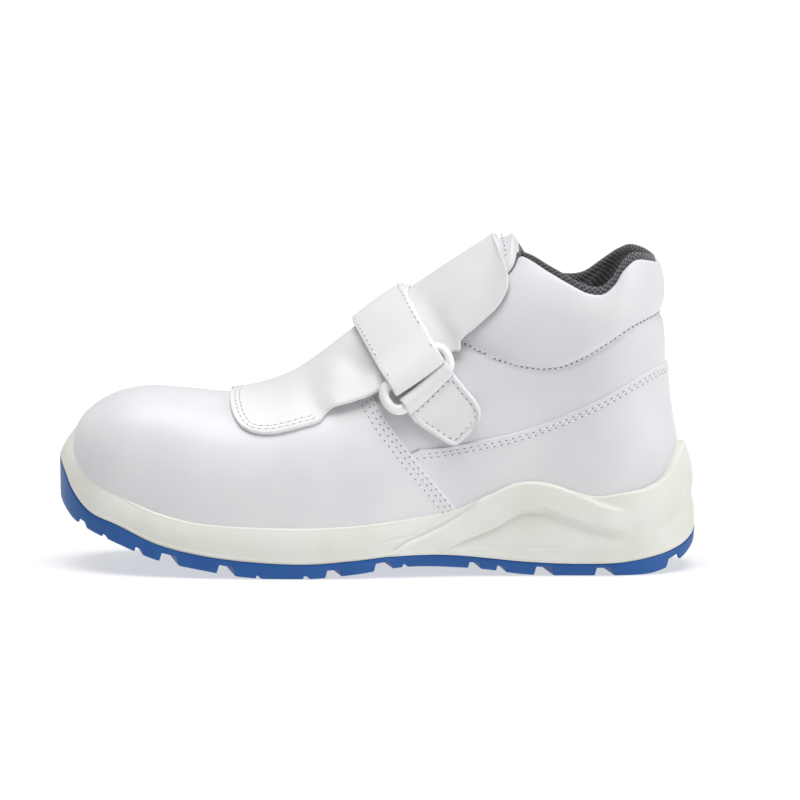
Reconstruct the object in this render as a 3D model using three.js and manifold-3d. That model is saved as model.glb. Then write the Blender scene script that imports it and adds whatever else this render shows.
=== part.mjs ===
// A white safety boot for the left foot, closed by an instep flap and one strap through a ring.
// Millimetres. The toe points to -X, the outer side of the foot is -Y and the floor is z = 0.
// The origin is under the middle of the sole's length and width.

import * as THREE from "three";
import { mergeVertices } from "three/addons/utils/BufferGeometryUtils.js";
import { ConvexGeometry } from "three/addons/geometries/ConvexGeometry.js";
import Module from "manifold-3d";

const wasm = await Module();
wasm.setup();

// Driving sizes of the whole boot
const SOLE_LENGTH = 305;
const BALL_WIDTH = 110;
const BOOT_HEIGHT = 157;
const BUMPER_HEIGHT = 69;
const CLEARANCE = 0.3;
const SEAT_GAP = 0.7;

// Walls and sheets
const UPPER_WALL = 2.2;
const OVERLAY_STEP = 1.3;
const RIM_WIDTH = 5;
const TOE_LEAN = 10.5;
const INSOLE_THICKNESS = 5;
const LINING_THICKNESS = 6.5;
const LINING_RISE = 3.8;
const FLAP_THICKNESS = 2;
const FLAP_LENGTH = 148;
const FLAP_REACH = 45;
const TONGUE_THICKNESS = 2;
const TONGUE_PADDING = 7;
const THROAT_WIDTH = 34;
const TONGUE_OVERLAP = 9;
const TONGUE_START = 28;
const TONGUE_LENGTH = 125;
const THROAT_START = 38;
const PADDING_START = 5;
const PADDING_FULL = 90;
const PADDING_REACH = 42;
const LINING_DEPTH = 0.3;
const LINING_FRONT = 0.06;

// The strap, its ring and the tab that holds the ring
const INSTEP_SLOPE = THREE.MathUtils.degToRad(33);
const STRAP_WIDTH = 29.5;
const STRAP_THICKNESS = 1.8;
const STRAP_PLACE = 83.2;
const STRAP_SKEW = 0.12;
const STRAP_ANCHOR = 62;
const STRAP_END = 26;
const RING_LENGTH = 40.5;
const RING_WIDTH = 16;
const RING_WIRE = 4.8;
const RING_RUN = 46;
const TAB_WIDTH = 30;
const TAB_LENGTH = 28.7;
const TAB_THICKNESS = 2.6;
const TAB_LOOP_WIDTH = 25;
const TAB_LOOP_WALL = 1.5;

// Tread
const GROOVE_SKEW = 9;
const CENTRE_GROOVE_WIDTH = 5;
const CENTRE_GROOVE_DEPTH = 3;

// How finely the forms are faceted
const AROUND = 46;
const UP = 14;
const PROFILE_STEPS = 70;
const THROAT_ROWS = 30;
const THROAT_COLUMNS = 6;
const FLAP_ROWS = 18;
const FLAP_COLUMNS = 12;
const TONGUE_ROWS = 10;
const TONGUE_COLUMNS = 8;

// How far cutting forms run on past what they cut
const OVERRUN = 25;
const THROAT_CUT = 8;

// Sole outline. along: share of the sole length from the toe. The rest are shares of the ball width:
// half breadths of both sides before the ends are rounded, and the shift of the centre line.
const SOLE_OUTLINE = [
  { along: 0.0, lateral: 0.455, medial: 0.42, swing: 0.055 },
  { along: 0.12, lateral: 0.465, medial: 0.45, swing: 0.038 },
  { along: 0.22, lateral: 0.487, medial: 0.477, swing: 0.02 },
  { along: 0.3, lateral: 0.5, medial: 0.49, swing: 0.01 },
  { along: 0.385, lateral: 0.502, medial: 0.473, swing: 0.0 },
  { along: 0.485, lateral: 0.468, medial: 0.4, swing: 0.0 },
  { along: 0.6, lateral: 0.405, medial: 0.335, swing: 0.0 },
  { along: 0.7, lateral: 0.378, medial: 0.328, swing: -0.005 },
  { along: 0.83, lateral: 0.373, medial: 0.35, swing: -0.01 },
  { along: 1.0, lateral: 0.364, medial: 0.355, swing: -0.01 },
];
const TOE_ROUND = { length: 62, power: 2.3 };
const HEEL_ROUND = { length: 44, power: 2.25 };

// Lines round the sole, as shares of the bumper height. around: 0 at the toe tip, 1 at the heel's back.
const SOLE_LINES = [
  { around: 0.0, tread: 0.5, seam: 0.76, floor: 0.7, rim: 1.0, lean: 1.0 },
  { around: 0.06, tread: 0.43, seam: 0.68, floor: 0.65, rim: 0.93, lean: 0.95 },
  { around: 0.1, tread: 0.355, seam: 0.54, floor: 0.61, rim: 0.84, lean: 0.8 },
  { around: 0.14, tread: 0.3, seam: 0.43, floor: 0.53, rim: 0.72, lean: 0.6 },
  { around: 0.2, tread: 0.215, seam: 0.345, floor: 0.41, rim: 0.55, lean: 0.4 },
  { around: 0.26, tread: 0.115, seam: 0.225, floor: 0.315, rim: 0.437, lean: 0.3 },
  { around: 0.31, tread: 0.06, seam: 0.16, floor: 0.25, rim: 0.377, lean: 0.28 },
  { around: 0.36, tread: 0.012, seam: 0.12, floor: 0.215, rim: 0.355, lean: 0.26 },
  { around: 0.385, tread: 0.0, seam: 0.108, floor: 0.208, rim: 0.35, lean: 0.25 },
  { around: 0.435, tread: 0.0, seam: 0.1, floor: 0.203, rim: 0.347, lean: 0.25 },
  { around: 0.475, tread: 0.022, seam: 0.118, floor: 0.213, rim: 0.357, lean: 0.25 },
  { around: 0.53, tread: 0.07, seam: 0.152, floor: 0.255, rim: 0.397, lean: 0.25 },
  { around: 0.58, tread: 0.06, seam: 0.145, floor: 0.295, rim: 0.458, lean: 0.25 },
  { around: 0.615, tread: 0.04, seam: 0.122, floor: 0.318, rim: 0.56, lean: 0.25 },
  { around: 0.645, tread: 0.012, seam: 0.102, floor: 0.33, rim: 0.642, lean: 0.25 },
  { around: 0.675, tread: 0.0, seam: 0.09, floor: 0.337, rim: 0.643, lean: 0.25 },
  { around: 0.71, tread: 0.0, seam: 0.083, floor: 0.342, rim: 0.583, lean: 0.25 },
  { around: 0.735, tread: 0.0, seam: 0.083, floor: 0.346, rim: 0.548, lean: 0.25 },
  { around: 0.78, tread: 0.0, seam: 0.09, floor: 0.351, rim: 0.568, lean: 0.25 },
  { around: 0.83, tread: 0.008, seam: 0.12, floor: 0.358, rim: 0.6, lean: 0.27 },
  { around: 0.87, tread: 0.045, seam: 0.152, floor: 0.366, rim: 0.655, lean: 0.33 },
  { around: 0.91, tread: 0.1, seam: 0.19, floor: 0.375, rim: 0.755, lean: 0.4 },
  { around: 0.95, tread: 0.16, seam: 0.232, floor: 0.383, rim: 0.84, lean: 0.45 },
  { around: 1.0, tread: 0.21, seam: 0.28, floor: 0.39, rim: 0.87, lean: 0.48 },
];

// Side outline of the upper's front, from inside the toe bumper over the toe and up the instep.
// along: share of the sole length, height: share of the boot height, round and power: how far behind
// the line the sides reach their full breadth, in millimetres, and how square the bend is.
const FRONT_PROFILE = [
  { along: 0.024, height: 0.28, round: 45, power: 2.35 },
  { along: 0.0225, height: 0.335, round: 45, power: 2.35 },
  { along: 0.026, height: 0.39, round: 44, power: 2.35 },
  { along: 0.0377, height: 0.442, round: 42, power: 2.35 },
  { along: 0.062, height: 0.487, round: 40, power: 2.35 },
  { along: 0.096, height: 0.52, round: 40, power: 2.35 },
  { along: 0.139, height: 0.5355, round: 41, power: 2.3 },
  { along: 0.2, height: 0.53, round: 43, power: 2.25 },
  { along: 0.27, height: 0.52, round: 48, power: 2.15 },
  { along: 0.33, height: 0.54, round: 52, power: 2.1 },
  { along: 0.39, height: 0.577, round: 56, power: 2.05 },
  { along: 0.46, height: 0.652, round: 58, power: 2.0 },
  { along: 0.56, height: 0.777, round: 56, power: 2.0 },
  { along: 0.65, height: 0.892, round: 50, power: 2.0 },
  { along: 0.71, height: 0.968, round: 42, power: 2.0 },
];

// Side outline of the upper's back, from the sole to the collar
const BACK_PROFILE = [
  { along: 0.966, height: 0.171 },
  { along: 0.973, height: 0.25 },
  { along: 0.9735, height: 0.33 },
  { along: 0.9685, height: 0.392 },
  { along: 0.961, height: 0.48 },
  { along: 0.956, height: 0.555 },
  { along: 0.9535, height: 0.625 },
  { along: 0.953, height: 0.7 },
  { along: 0.95, height: 0.752 },
  { along: 0.945, height: 0.784 },
  { along: 0.9485, height: 0.82 },
  { along: 0.949, height: 0.875 },
  { along: 0.944, height: 0.935 },
];
const BACK_ROUND = { length: 38, power: 2.15 };

// Edge of the leather round the collar, seen from the outer side. high: extra height of the inner side.
const COLLAR_LINE = [
  { along: 0.71, height: 0.968, high: 0 },
  { along: 0.735, height: 0.955, high: -0.03 },
  { along: 0.765, height: 0.922, high: -0.042 },
  { along: 0.8, height: 0.884, high: -0.026 },
  { along: 0.83, height: 0.856, high: 0.01 },
  { along: 0.8535, height: 0.853, high: 0.043 },
  { along: 0.872, height: 0.88, high: 0.04 },
  { along: 0.889, height: 0.927, high: 0.012 },
  { along: 0.907, height: 0.952, high: 0 },
  { along: 0.928, height: 0.947, high: 0 },
  { along: 0.944, height: 0.935, high: 0 },
];

// Half breadths of the upper at collar height, as shares of the ball width
const SHAFT_BREADTH = [
  { along: 0.0, lateral: 0.37, medial: 0.36 },
  { along: 0.3, lateral: 0.4, medial: 0.39 },
  { along: 0.5, lateral: 0.355, medial: 0.34 },
  { along: 0.62, lateral: 0.325, medial: 0.31 },
  { along: 0.75, lateral: 0.33, medial: 0.315 },
  { along: 0.88, lateral: 0.33, medial: 0.32 },
  { along: 1.0, lateral: 0.325, medial: 0.318 },
];
const BREADTH_LEVELS = { low: 0.2, high: 0.9 };

// Rear edge of the vamp and top edge of the heel counter, on the side of the boot
const VAMP_EDGE = [
  { along: 0.43, height: 0.7 },
  { along: 0.494, height: 0.543 },
  { along: 0.513, height: 0.48 },
  { along: 0.55, height: 0.38 },
  { along: 0.59, height: 0.283 },
  { along: 0.625, height: 0.2 },
  { along: 0.66, height: 0.1 },
];
const COUNTER_EDGE = [
  { along: 0.53, height: 0.381 },
  { along: 0.606, height: 0.391 },
  { along: 0.656, height: 0.408 },
  { along: 0.709, height: 0.429 },
  { along: 0.767, height: 0.465 },
  { along: 0.824, height: 0.512 },
  { along: 0.862, height: 0.548 },
  { along: 0.9, height: 0.589 },
  { along: 0.934, height: 0.621 },
  { along: 0.99, height: 0.63 },
];

// The raised band on the side of the midsole, from the waist over its peak to the heel.
// low and high: heights of its two edges, as shares of the bumper height.
const MIDSOLE_BAND = [
  { along: 0.52, low: 0.13, high: 0.2 },
  { along: 0.56, low: 0.17, high: 0.31 },
  { along: 0.6, low: 0.235, high: 0.43 },
  { along: 0.65, low: 0.34, high: 0.6 },
  { along: 0.69, low: 0.43, high: 0.7 },
  { along: 0.735, low: 0.445, high: 0.7 },
  { along: 0.78, low: 0.37, high: 0.62 },
  { along: 0.84, low: 0.29, high: 0.47 },
  { along: 0.9, low: 0.25, high: 0.37 },
];
const BAND_STEP = 1.6;
const BAND_TOP_SLOPE = 0.35;
const HEEL_WAIST = 1.2;

// Edge of the flap: how far it reaches down from the instep's ridge, as a share of the flap's reach
const FLAP_EDGE = [
  { along: 0.0, reach: 0.6 },
  { along: 0.012, reach: 0.86 },
  { along: 0.04, reach: 0.98 },
  { along: 0.12, reach: 1.0 },
  { along: 0.21, reach: 0.985 },
  { along: 0.247, reach: 0.9 },
  { along: 0.29, reach: 0.85 },
  { along: 0.42, reach: 0.87 },
  { along: 0.6, reach: 0.89 },
  { along: 0.72, reach: 0.935 },
  { along: 0.735, reach: 0.93 },
  { along: 0.75, reach: 0.865 },
  { along: 0.79, reach: 0.815 },
  { along: 0.87, reach: 0.81 },
  { along: 0.945, reach: 0.73 },
  { along: 0.975, reach: 0.64 },
  { along: 0.99, reach: 0.52 },
  { along: 1.0, reach: 0.25 },
];

// Shape of the tab. down: share of its length from the ring, front and back: shares of its width
const TAB_SHAPE = [
  { down: 0.0, front: -0.455, back: 0.49 },
  { down: 0.35, front: -0.42, back: 0.58 },
  { down: 0.66, front: -0.3, back: 0.57 },
  { down: 0.84, front: -0.23, back: 0.5 },
  { down: 0.94, front: -0.16, back: 0.33 },
  { down: 1.0, front: -0.02, back: 0.1 },
];

// Grooves across the tread. along: share of the sole length; width and depth in millimetres
const GROOVES = [
  { along: 0.045, width: 5.3, depth: 2.4 },
  { along: 0.082, width: 3, depth: 1.3 },
  { along: 0.132, width: 4.2, depth: 2.4 },
  { along: 0.178, width: 9, depth: 4.2 },
  { along: 0.266, width: 8.6, depth: 4.2 },
  { along: 0.316, width: 2.4, depth: 1.3 },
  { along: 0.391, width: 3, depth: 1.3 },
  { along: 0.434, width: 7.5, depth: 3.4 },
  { along: 0.514, width: 9, depth: 3.6 },
  { along: 0.549, width: 2.6, depth: 1.3 },
  { along: 0.66, width: 6, depth: 2.8 },
  { along: 0.702, width: 4.6, depth: 2.4 },
  { along: 0.769, width: 9, depth: 4 },
  { along: 0.864, width: 9, depth: 3.6 },
  { along: 0.969, width: 5.3, depth: 3.6 },
];

// Where the groove along the middle of the tread starts and ends, as shares of the sole length
const CENTRE_GROOVES = [
  { from: 0.1, to: 0.5 },
  { from: 0.67, to: 0.93 },
];

// A smooth function through the points of a table column, level at both ends if asked
function through(knots, values, level = false) {
  const last = knots.length - 1;
  const slope = (i) => (values[i + 1] - values[i]) / (knots[i + 1] - knots[i]);
  const tangents = knots.map((k, i) => {
    if (i === 0) return level ? 0 : slope(0);
    if (i === last) return level ? 0 : slope(last - 1);
    const before = k - knots[i - 1];
    const after = knots[i + 1] - k;
    return (before * slope(i) + after * slope(i - 1)) / (before + after);
  });
  return (x) => {
    if (x <= knots[0]) return values[0];
    if (x >= knots[last]) return values[last];
    let i = 0;
    while (knots[i + 1] < x) i++;
    const step = knots[i + 1] - knots[i];
    const u = (x - knots[i]) / step;
    return (
      values[i] * (1 + 2 * u) * (1 - u) * (1 - u) +
      tangents[i] * step * u * (1 - u) * (1 - u) +
      values[i + 1] * u * u * (3 - 2 * u) +
      tangents[i + 1] * step * u * u * (u - 1)
    );
  };
}

const column = (table, key, by = "along", level = false) =>
  through(
    table.map((row) => row[by]),
    table.map((row) => row[key]),
    level,
  );

const smoothStep = (u) => {
  const s = Math.min(1, Math.max(0, u));
  return s * s * (3 - 2 * s);
};

// A smooth curve through side-view points; at(0) is its start and at(1) its end
function sideCurve(points) {
  const run = [0];
  points.slice(1).forEach((p, i) => run.push(run[i] + p.distanceTo(points[i])));
  const share = run.map((r) => r / run[run.length - 1]);
  const x = through(
    share,
    points.map((p) => p.x),
  );
  const z = through(
    share,
    points.map((p) => p.y),
  );
  return { share, at: (u) => new THREE.Vector2(x(u), z(u)) };
}

const alongToX = (along) => (along - 0.5) * SOLE_LENGTH;
const xToAlong = (x) => x / SOLE_LENGTH + 0.5;
const sidePoint = (row) => new THREE.Vector2(alongToX(row.along), row.height * BOOT_HEIGHT);

// Rounding factor of a breadth: 0 at the outline, 1 from one round length behind it
function rounded(distance, length, power) {
  const u = Math.min(1, Math.max(0, distance / length));
  return Math.pow(1 - Math.pow(1 - u, power), 1 / power);
}

// Plan outline of the sole
const outlineColumns = {
  lateral: column(SOLE_OUTLINE, "lateral"),
  medial: column(SOLE_OUTLINE, "medial"),
  swing: column(SOLE_OUTLINE, "swing"),
};
const swingAt = (x) => outlineColumns.swing(xToAlong(x)) * BALL_WIDTH;
const sideName = (side) => (side < 0 ? "lateral" : "medial");
const soleBreadth = (x, side) => outlineColumns[sideName(side)](xToAlong(x)) * BALL_WIDTH;

function outlinePoint(turn) {
  const x = alongToX((1 - Math.cos(turn * 2 * Math.PI)) / 2);
  const side = turn <= 0.5 ? -1 : 1;
  const toe = rounded(x + SOLE_LENGTH / 2, TOE_ROUND.length, TOE_ROUND.power);
  const heel = rounded(SOLE_LENGTH / 2 - x, HEEL_ROUND.length, HEEL_ROUND.power);
  return new THREE.Vector2(x, swingAt(x) + side * soleBreadth(x, side) * toe * heel);
}

// The outline moved inwards by an inset; turn runs 0 to 1 from the toe along the outer side
function insetOutline(turn, inset) {
  const wrap = (t) => ((t % 1) + 1) % 1;
  const before = outlinePoint(wrap(turn - 0.002));
  const after = outlinePoint(wrap(turn + 0.002));
  const tangent = after.sub(before).normalize();
  const inward = new THREE.Vector2(-tangent.y, tangent.x);
  return outlinePoint(wrap(turn)).addScaledVector(inward, inset);
}

const soleLine = {};
for (const key of ["tread", "seam", "floor", "rim", "lean"])
  soleLine[key] = column(SOLE_LINES, key, "around", true);
const aroundAt = (turn) => 2 * Math.min(turn, 1 - turn);
const aroundOfX = (x) => Math.acos(Math.min(1, Math.max(-1, 1 - 2 * xToAlong(x)))) / Math.PI;
const soleHeight = (key, around) => Math.max(0, soleLine[key](around)) * BUMPER_HEIGHT;

// Side profiles as polylines that run on past both ends, for the distance below
function profileOf(rows, runOn) {
  const curve = sideCurve(rows.map(sidePoint));
  const round = rows[0].round ? through(curve.share, rows.map((r) => r.round)) : null;
  const power = rows[0].power ? through(curve.share, rows.map((r) => r.power)) : null;
  const line = [];
  for (let i = 0; i <= PROFILE_STEPS; i++) {
    const u = i / PROFILE_STEPS;
    line.push({ p: curve.at(u), round: round && round(u), power: power && power(u) });
  }
  const extend = (end, next, length) => {
    const away = end.p.clone().sub(next.p).normalize();
    return { ...end, p: end.p.clone().addScaledVector(away, length) };
  };
  const first = extend(line[0], line[1], runOn);
  const final = extend(line[line.length - 1], line[line.length - 2], runOn);
  return { curve, line: [first, ...line, final] };
}
const RUN_ON = 150;
const front = profileOf(FRONT_PROFILE, RUN_ON);
const back = profileOf(BACK_PROFILE, RUN_ON);

// Smooth distance from a side-view point to a profile, and the profile's roundness as seen from it.
// Each piece of the line counts by the angle that it fills and by how near it is.
function nearTo(profile, x, z, sign) {
  let total = 0;
  let round = 0;
  let power = 0;
  const line = profile.line;
  for (let i = 0; i + 1 < line.length; i++) {
    const ax = line[i].p.x - x;
    const az = line[i].p.y - z;
    const bx = line[i + 1].p.x - x;
    const bz = line[i + 1].p.y - z;
    const ra = Math.hypot(ax, az);
    const rb = Math.hypot(bx, bz);
    const dot = ax * bx + az * bz;
    const cross = sign * (ax * bz - az * bx);
    if (Math.abs(cross) < 1e-9 && dot <= 0) return { distance: 0, round: 1, power: 2 };
    const weight = (cross / (ra * rb + dot)) * (1 / ra + 1 / rb);
    total += weight;
    round += weight * line[i].round;
    power += weight * line[i].power;
  }
  return { distance: total > 0 ? 2 / total : 0, round: round / total, power: power / total };
}

const shaftColumns = {
  lateral: column(SHAFT_BREADTH, "lateral"),
  medial: column(SHAFT_BREADTH, "medial"),
};

// Half breadth of the upper at a side-view point; side is -1 for lateral, 1 for medial
function halfBreadth(x, z, side) {
  const low = soleBreadth(x, side) - RIM_WIDTH;
  const high = shaftColumns[sideName(side)](xToAlong(x)) * BALL_WIDTH;
  const level = z / BOOT_HEIGHT;
  const up = (level - BREADTH_LEVELS.low) / (BREADTH_LEVELS.high - BREADTH_LEVELS.low);
  const flat = low + (high - low) * smoothStep(up);
  const f = nearTo(front, x, z, -1);
  const b = nearTo(back, x, z, 1);
  return (
    flat *
    rounded(f.distance, f.round, f.power) *
    rounded(b.distance, BACK_ROUND.length, BACK_ROUND.power)
  );
}

const onUpper = (x, z, side) =>
  new THREE.Vector3(x, swingAt(x) * (1 - z / BOOT_HEIGHT) + side * halfBreadth(x, z, side), z);

// Chart of the upper: turn goes round it from the toe, rise goes up from the floor line to the collar.
// It is a patch between the floor line, the collar line and the two profiles.
const collar = sideCurve(COLLAR_LINE.map(sidePoint));
const collarHigh = through(
  collar.share,
  COLLAR_LINE.map((row) => row.high * BOOT_HEIGHT),
);
const floorStart = front.curve.at(0);
const floorEnd = back.curve.at(0);
function floorPoint(c) {
  const x = floorStart.x + (floorEnd.x - floorStart.x) * c;
  const shift = (u, end) => end.y - soleHeight("floor", aroundOfX(end.x));
  const lift = shift(0, floorStart) * Math.pow(1 - c, 8) + shift(1, floorEnd) * Math.pow(c, 8);
  return new THREE.Vector2(x, soleHeight("floor", aroundOfX(x)) + lift);
}
function chartPoint(turn, rise) {
  const c = (1 - Math.cos(turn * 2 * Math.PI)) / 2;
  const side = turn <= 0.5 ? -1 : 1;
  const top = collar.at(c);
  if (side > 0) top.y += collarHigh(c);
  const p = floorPoint(c)
    .multiplyScalar(1 - rise)
    .addScaledVector(top, rise)
    .addScaledVector(front.curve.at(rise), 1 - c)
    .addScaledVector(back.curve.at(rise), c)
    .addScaledVector(floorStart, -(1 - c) * (1 - rise))
    .addScaledVector(front.curve.at(1), -(1 - c) * rise)
    .addScaledVector(floorEnd, -c * (1 - rise))
    .addScaledVector(back.curve.at(1), -c * rise);
  return onUpper(p.x, p.y, side);
}

const NUDGE = 0.004;
function chartNormal(turn, rise) {
  const wrap = (t) => ((t % 1) + 1) % 1;
  const low = Math.max(0, rise - NUDGE);
  const high = Math.min(1, rise + NUDGE);
  const around = chartPoint(wrap(turn + NUDGE), rise).sub(chartPoint(wrap(turn - NUDGE), rise));
  const up = chartPoint(turn, high).sub(chartPoint(turn, low));
  return around.cross(up).normalize();
}

// Rings of the upper's surface moved outwards by an offset
function upperRings(offset, rises) {
  return rises.map((rise) =>
    Array.from({ length: AROUND }, (_, k) => {
      const turn = k / AROUND;
      return chartPoint(turn, rise).addScaledVector(chartNormal(turn, rise), offset);
    }),
  );
}
const RISES = Array.from({ length: UP + 1 }, (_, i) => i / UP);

// Turns triangles into a solid, whichever way round they were listed
function solidFrom(points, triangles) {
  let volume = 0;
  for (const [a, b, c] of triangles)
    volume += points[a].dot(new THREE.Vector3().crossVectors(points[b], points[c]));
  const index = volume < 0 ? triangles.map(([a, b, c]) => [a, c, b]) : triangles;
  const geometry = new THREE.BufferGeometry().setFromPoints(points);
  geometry.setIndex(index.flat());
  return solidOf(geometry);
}

function solidOf(geometry) {
  geometry.deleteAttribute("normal");
  geometry.deleteAttribute("uv");
  const merged = mergeVertices(geometry, 1e-4);
  const kept = [];
  const index = merged.index.array;
  for (let i = 0; i < index.length; i += 3) {
    const [a, b, c] = [index[i], index[i + 1], index[i + 2]];
    if (a !== b && b !== c && a !== c) kept.push(a, b, c);
  }
  return new wasm.Manifold(
    new wasm.Mesh({
      numProp: 3,
      vertProperties: new Float32Array(merged.attributes.position.array),
      triVerts: new Uint32Array(kept),
    }),
  );
}

// Closed skin over rings that go round the boot; the end rings are closed straight across the boot
function skin(rings) {
  const n = rings[0].length;
  const points = rings.flat();
  const triangles = [];
  for (let r = 0; r + 1 < rings.length; r++)
    for (let k = 0; k < n; k++) {
      const a = r * n + k;
      const b = r * n + ((k + 1) % n);
      triangles.push([a, b, b + n], [a, b + n, a + n]);
    }
  for (const [start, flip] of [[0, true], [(rings.length - 1) * n, false]])
    for (let k = 0; k < n / 2; k++) {
      const a = start + k;
      const b = start + k + 1;
      const c = start + ((n - k) % n);
      const d = start + n - k - 1;
      const add = (i, j, l) => {
        if (i !== j && j !== l && i !== l) triangles.push(flip ? [i, l, j] : [i, j, l]);
      };
      add(a, b, c);
      add(b, d, c);
    }
  return solidFrom(points, triangles);
}

// Closed sheet between two grids of points of the same size
function sheet(outer, inner) {
  const rows = outer.length;
  const cols = outer[0].length;
  const points = [...outer.flat(), ...inner.flat()];
  const under = rows * cols;
  const at = (r, c) => r * cols + c;
  const triangles = [];
  const quad = (a, b, c, d) => triangles.push([a, b, c], [a, c, d]);
  for (let r = 0; r + 1 < rows; r++)
    for (let c = 0; c + 1 < cols; c++) {
      quad(at(r, c), at(r, c + 1), at(r + 1, c + 1), at(r + 1, c));
      quad(under + at(r, c), under + at(r + 1, c), under + at(r + 1, c + 1), under + at(r, c + 1));
    }
  const rim = [];
  for (let c = 0; c < cols; c++) rim.push(at(0, c));
  for (let r = 1; r < rows; r++) rim.push(at(r, cols - 1));
  for (let c = cols - 2; c >= 0; c--) rim.push(at(rows - 1, c));
  for (let r = rows - 2; r > 0; r--) rim.push(at(r, 0));
  rim.forEach((a, i) => {
    const b = rim[(i + 1) % rim.length];
    quad(a, under + a, under + b, b);
  });
  return solidFrom(points, triangles);
}

// A wide block with a side-view outline, through the boot from side to side
function sideBlock(points) {
  const shape = new THREE.Shape(points);
  const half = BALL_WIDTH;
  const geometry = new THREE.ExtrudeGeometry(shape, { depth: 2 * half, bevelEnabled: false });
  geometry.rotateX(Math.PI / 2);
  geometry.translate(0, half, 0);
  return solidOf(geometry);
}

// The form of the upper, closed below and above, moved outwards by an offset
function upperForm(offset, { raise = 0, lower = 0 } = {}) {
  const rings = upperRings(offset, RISES);
  const moved = (ring, dz) => ring.map((p) => p.clone().add(new THREE.Vector3(0, 0, dz)));
  if (lower > 0) rings.unshift(moved(rings[0], -lower));
  if (raise > 0) rings.push(moved(rings[rings.length - 1], raise));
  return skin(rings);
}

// Chart of the instep: s runs up the ridge from the front edge of the flap, on planes square to the
// instep's slope; drop goes down from the ridge on both sides.
const upSlope = new THREE.Vector2(Math.cos(INSTEP_SLOPE), Math.sin(INSTEP_SLOPE));
const downSlope = new THREE.Vector2(Math.sin(INSTEP_SLOPE), -Math.cos(INSTEP_SLOPE));
const FLAP_START = 0.2655;
const flapStart = (() => {
  const i = front.line.findIndex((q) => xToAlong(q.p.x) > FLAP_START && q.p.y > BOOT_HEIGHT / 2);
  return front.line[i].p;
})();

// Where the plane at s crosses the ridge
function ridgeAt(s) {
  const base = flapStart.clone().addScaledVector(upSlope, s);
  const line = front.line;
  for (let i = line.length - 2; i >= 0; i--) {
    const a = line[i].p.clone().sub(base).dot(upSlope);
    const b = line[i + 1].p.clone().sub(base).dot(upSlope);
    if (a <= 0 && b > 0) return line[i].p.clone().lerp(line[i + 1].p, a / (a - b));
  }
  return base;
}

// Arc across the instep at s: points of the surface with their distance from the ridge
const ARC_STEPS = 60;
const ARC_DROP = 80;
function instepArc(s, side) {
  const ridge = ridgeAt(s);
  const arc = [];
  let run = 0;
  for (let i = 0; i <= ARC_STEPS; i++) {
    const drop = ARC_DROP * Math.pow(i / ARC_STEPS, 2);
    const x = ridge.x + downSlope.x * drop;
    const z = ridge.y + downSlope.y * drop;
    const p = i === 0 ? new THREE.Vector3(x, swingAt(x) * (1 - z / BOOT_HEIGHT), z) : onUpper(x, z, side);
    if (i > 0) run += p.distanceTo(arc[i - 1].p);
    arc.push({ p, run, drop });
  }
  return arc;
}
const arcCache = new Map();
function arcAt(s, side) {
  const key = side + "/" + s.toFixed(4);
  if (!arcCache.has(key)) arcCache.set(key, instepArc(s, side));
  return arcCache.get(key);
}
function lookUp(arc, by, value) {
  let i = 0;
  while (i + 2 < arc.length && arc[i + 1][by] < value) i++;
  const u = (value - arc[i][by]) / (arc[i + 1][by] - arc[i][by]);
  return { i, u };
}
// Point at s and at a signed run from the ridge (negative on the outer side), offset outwards
function instepPoint(s, run, offset = 0) {
  const side = run < 0 ? -1 : 1;
  const raw = (at, r) => {
    const sd = r < 0 ? -1 : 1;
    const arc = arcAt(at, sd);
    const { i, u } = lookUp(arc, "run", Math.abs(r));
    return arc[i].p.clone().lerp(arc[i + 1].p, u);
  };
  const p = raw(s, run);
  const step = 2.5;
  const across = raw(s, run + step * side).sub(raw(s, run - step * side)).multiplyScalar(side);
  const along = raw(s + step, run).sub(raw(s - step, run));
  return p.addScaledVector(along.cross(across).normalize(), offset);
}

const range = (n, f) => Array.from({ length: n + 1 }, (_, i) => f(i / n));
const spread = (u) => (1 - Math.cos(Math.PI * u)) / 2;

// Runs of the strap, its ring and its tab turn a little against the planes of the chart.
// Their offsets are counted from the surface that the padded tongue lifts.
function strapPoint(s, run, offset) {
  const turned = run + STRAP_SKEW * (s - STRAP_PLACE);
  return instepPoint(s, turned, offset + lift(s, turned));
}

// Closed strip along a path of runs and offsets
function strip(path, thickness, rows) {
  const sides = path.map((q, i) => {
    const before = path[Math.max(0, i - 1)];
    const after = path[Math.min(path.length - 1, i + 1)];
    const tangent = after.clone().sub(before).normalize();
    const normal = new THREE.Vector2(-tangent.y, tangent.x).multiplyScalar(thickness / 2);
    return { left: q.clone().add(normal), right: q.clone().sub(normal) };
  });
  const grid = (key) => rows.map((s) => sides.map((q) => strapPoint(s, q[key].x, q[key].y)));
  return sheet(grid("left"), grid("right"));
}

// Upper
function makeUpper() {
  const far = SOLE_LENGTH;
  const vampBlock = sideBlock([
    ...VAMP_EDGE.map(sidePoint),
    new THREE.Vector2(-far, 0),
    new THREE.Vector2(-far, BOOT_HEIGHT * VAMP_EDGE[0].height),
  ]);
  const counterBlock = sideBlock([
    ...COUNTER_EDGE.map(sidePoint),
    new THREE.Vector2(far, 0),
    new THREE.Vector2(alongToX(COUNTER_EDGE[0].along), 0),
  ]);
  return upperForm(0)
    .add(upperForm(OVERLAY_STEP).intersect(vampBlock.add(counterBlock)))
    .subtract(upperForm(-UPPER_WALL, { raise: OVERRUN, lower: OVERRUN }))
    .subtract(instepSheet(throatEdge, THROAT_CUT, -THROAT_CUT, THROAT_ROWS, THROAT_COLUMNS));
}

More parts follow.
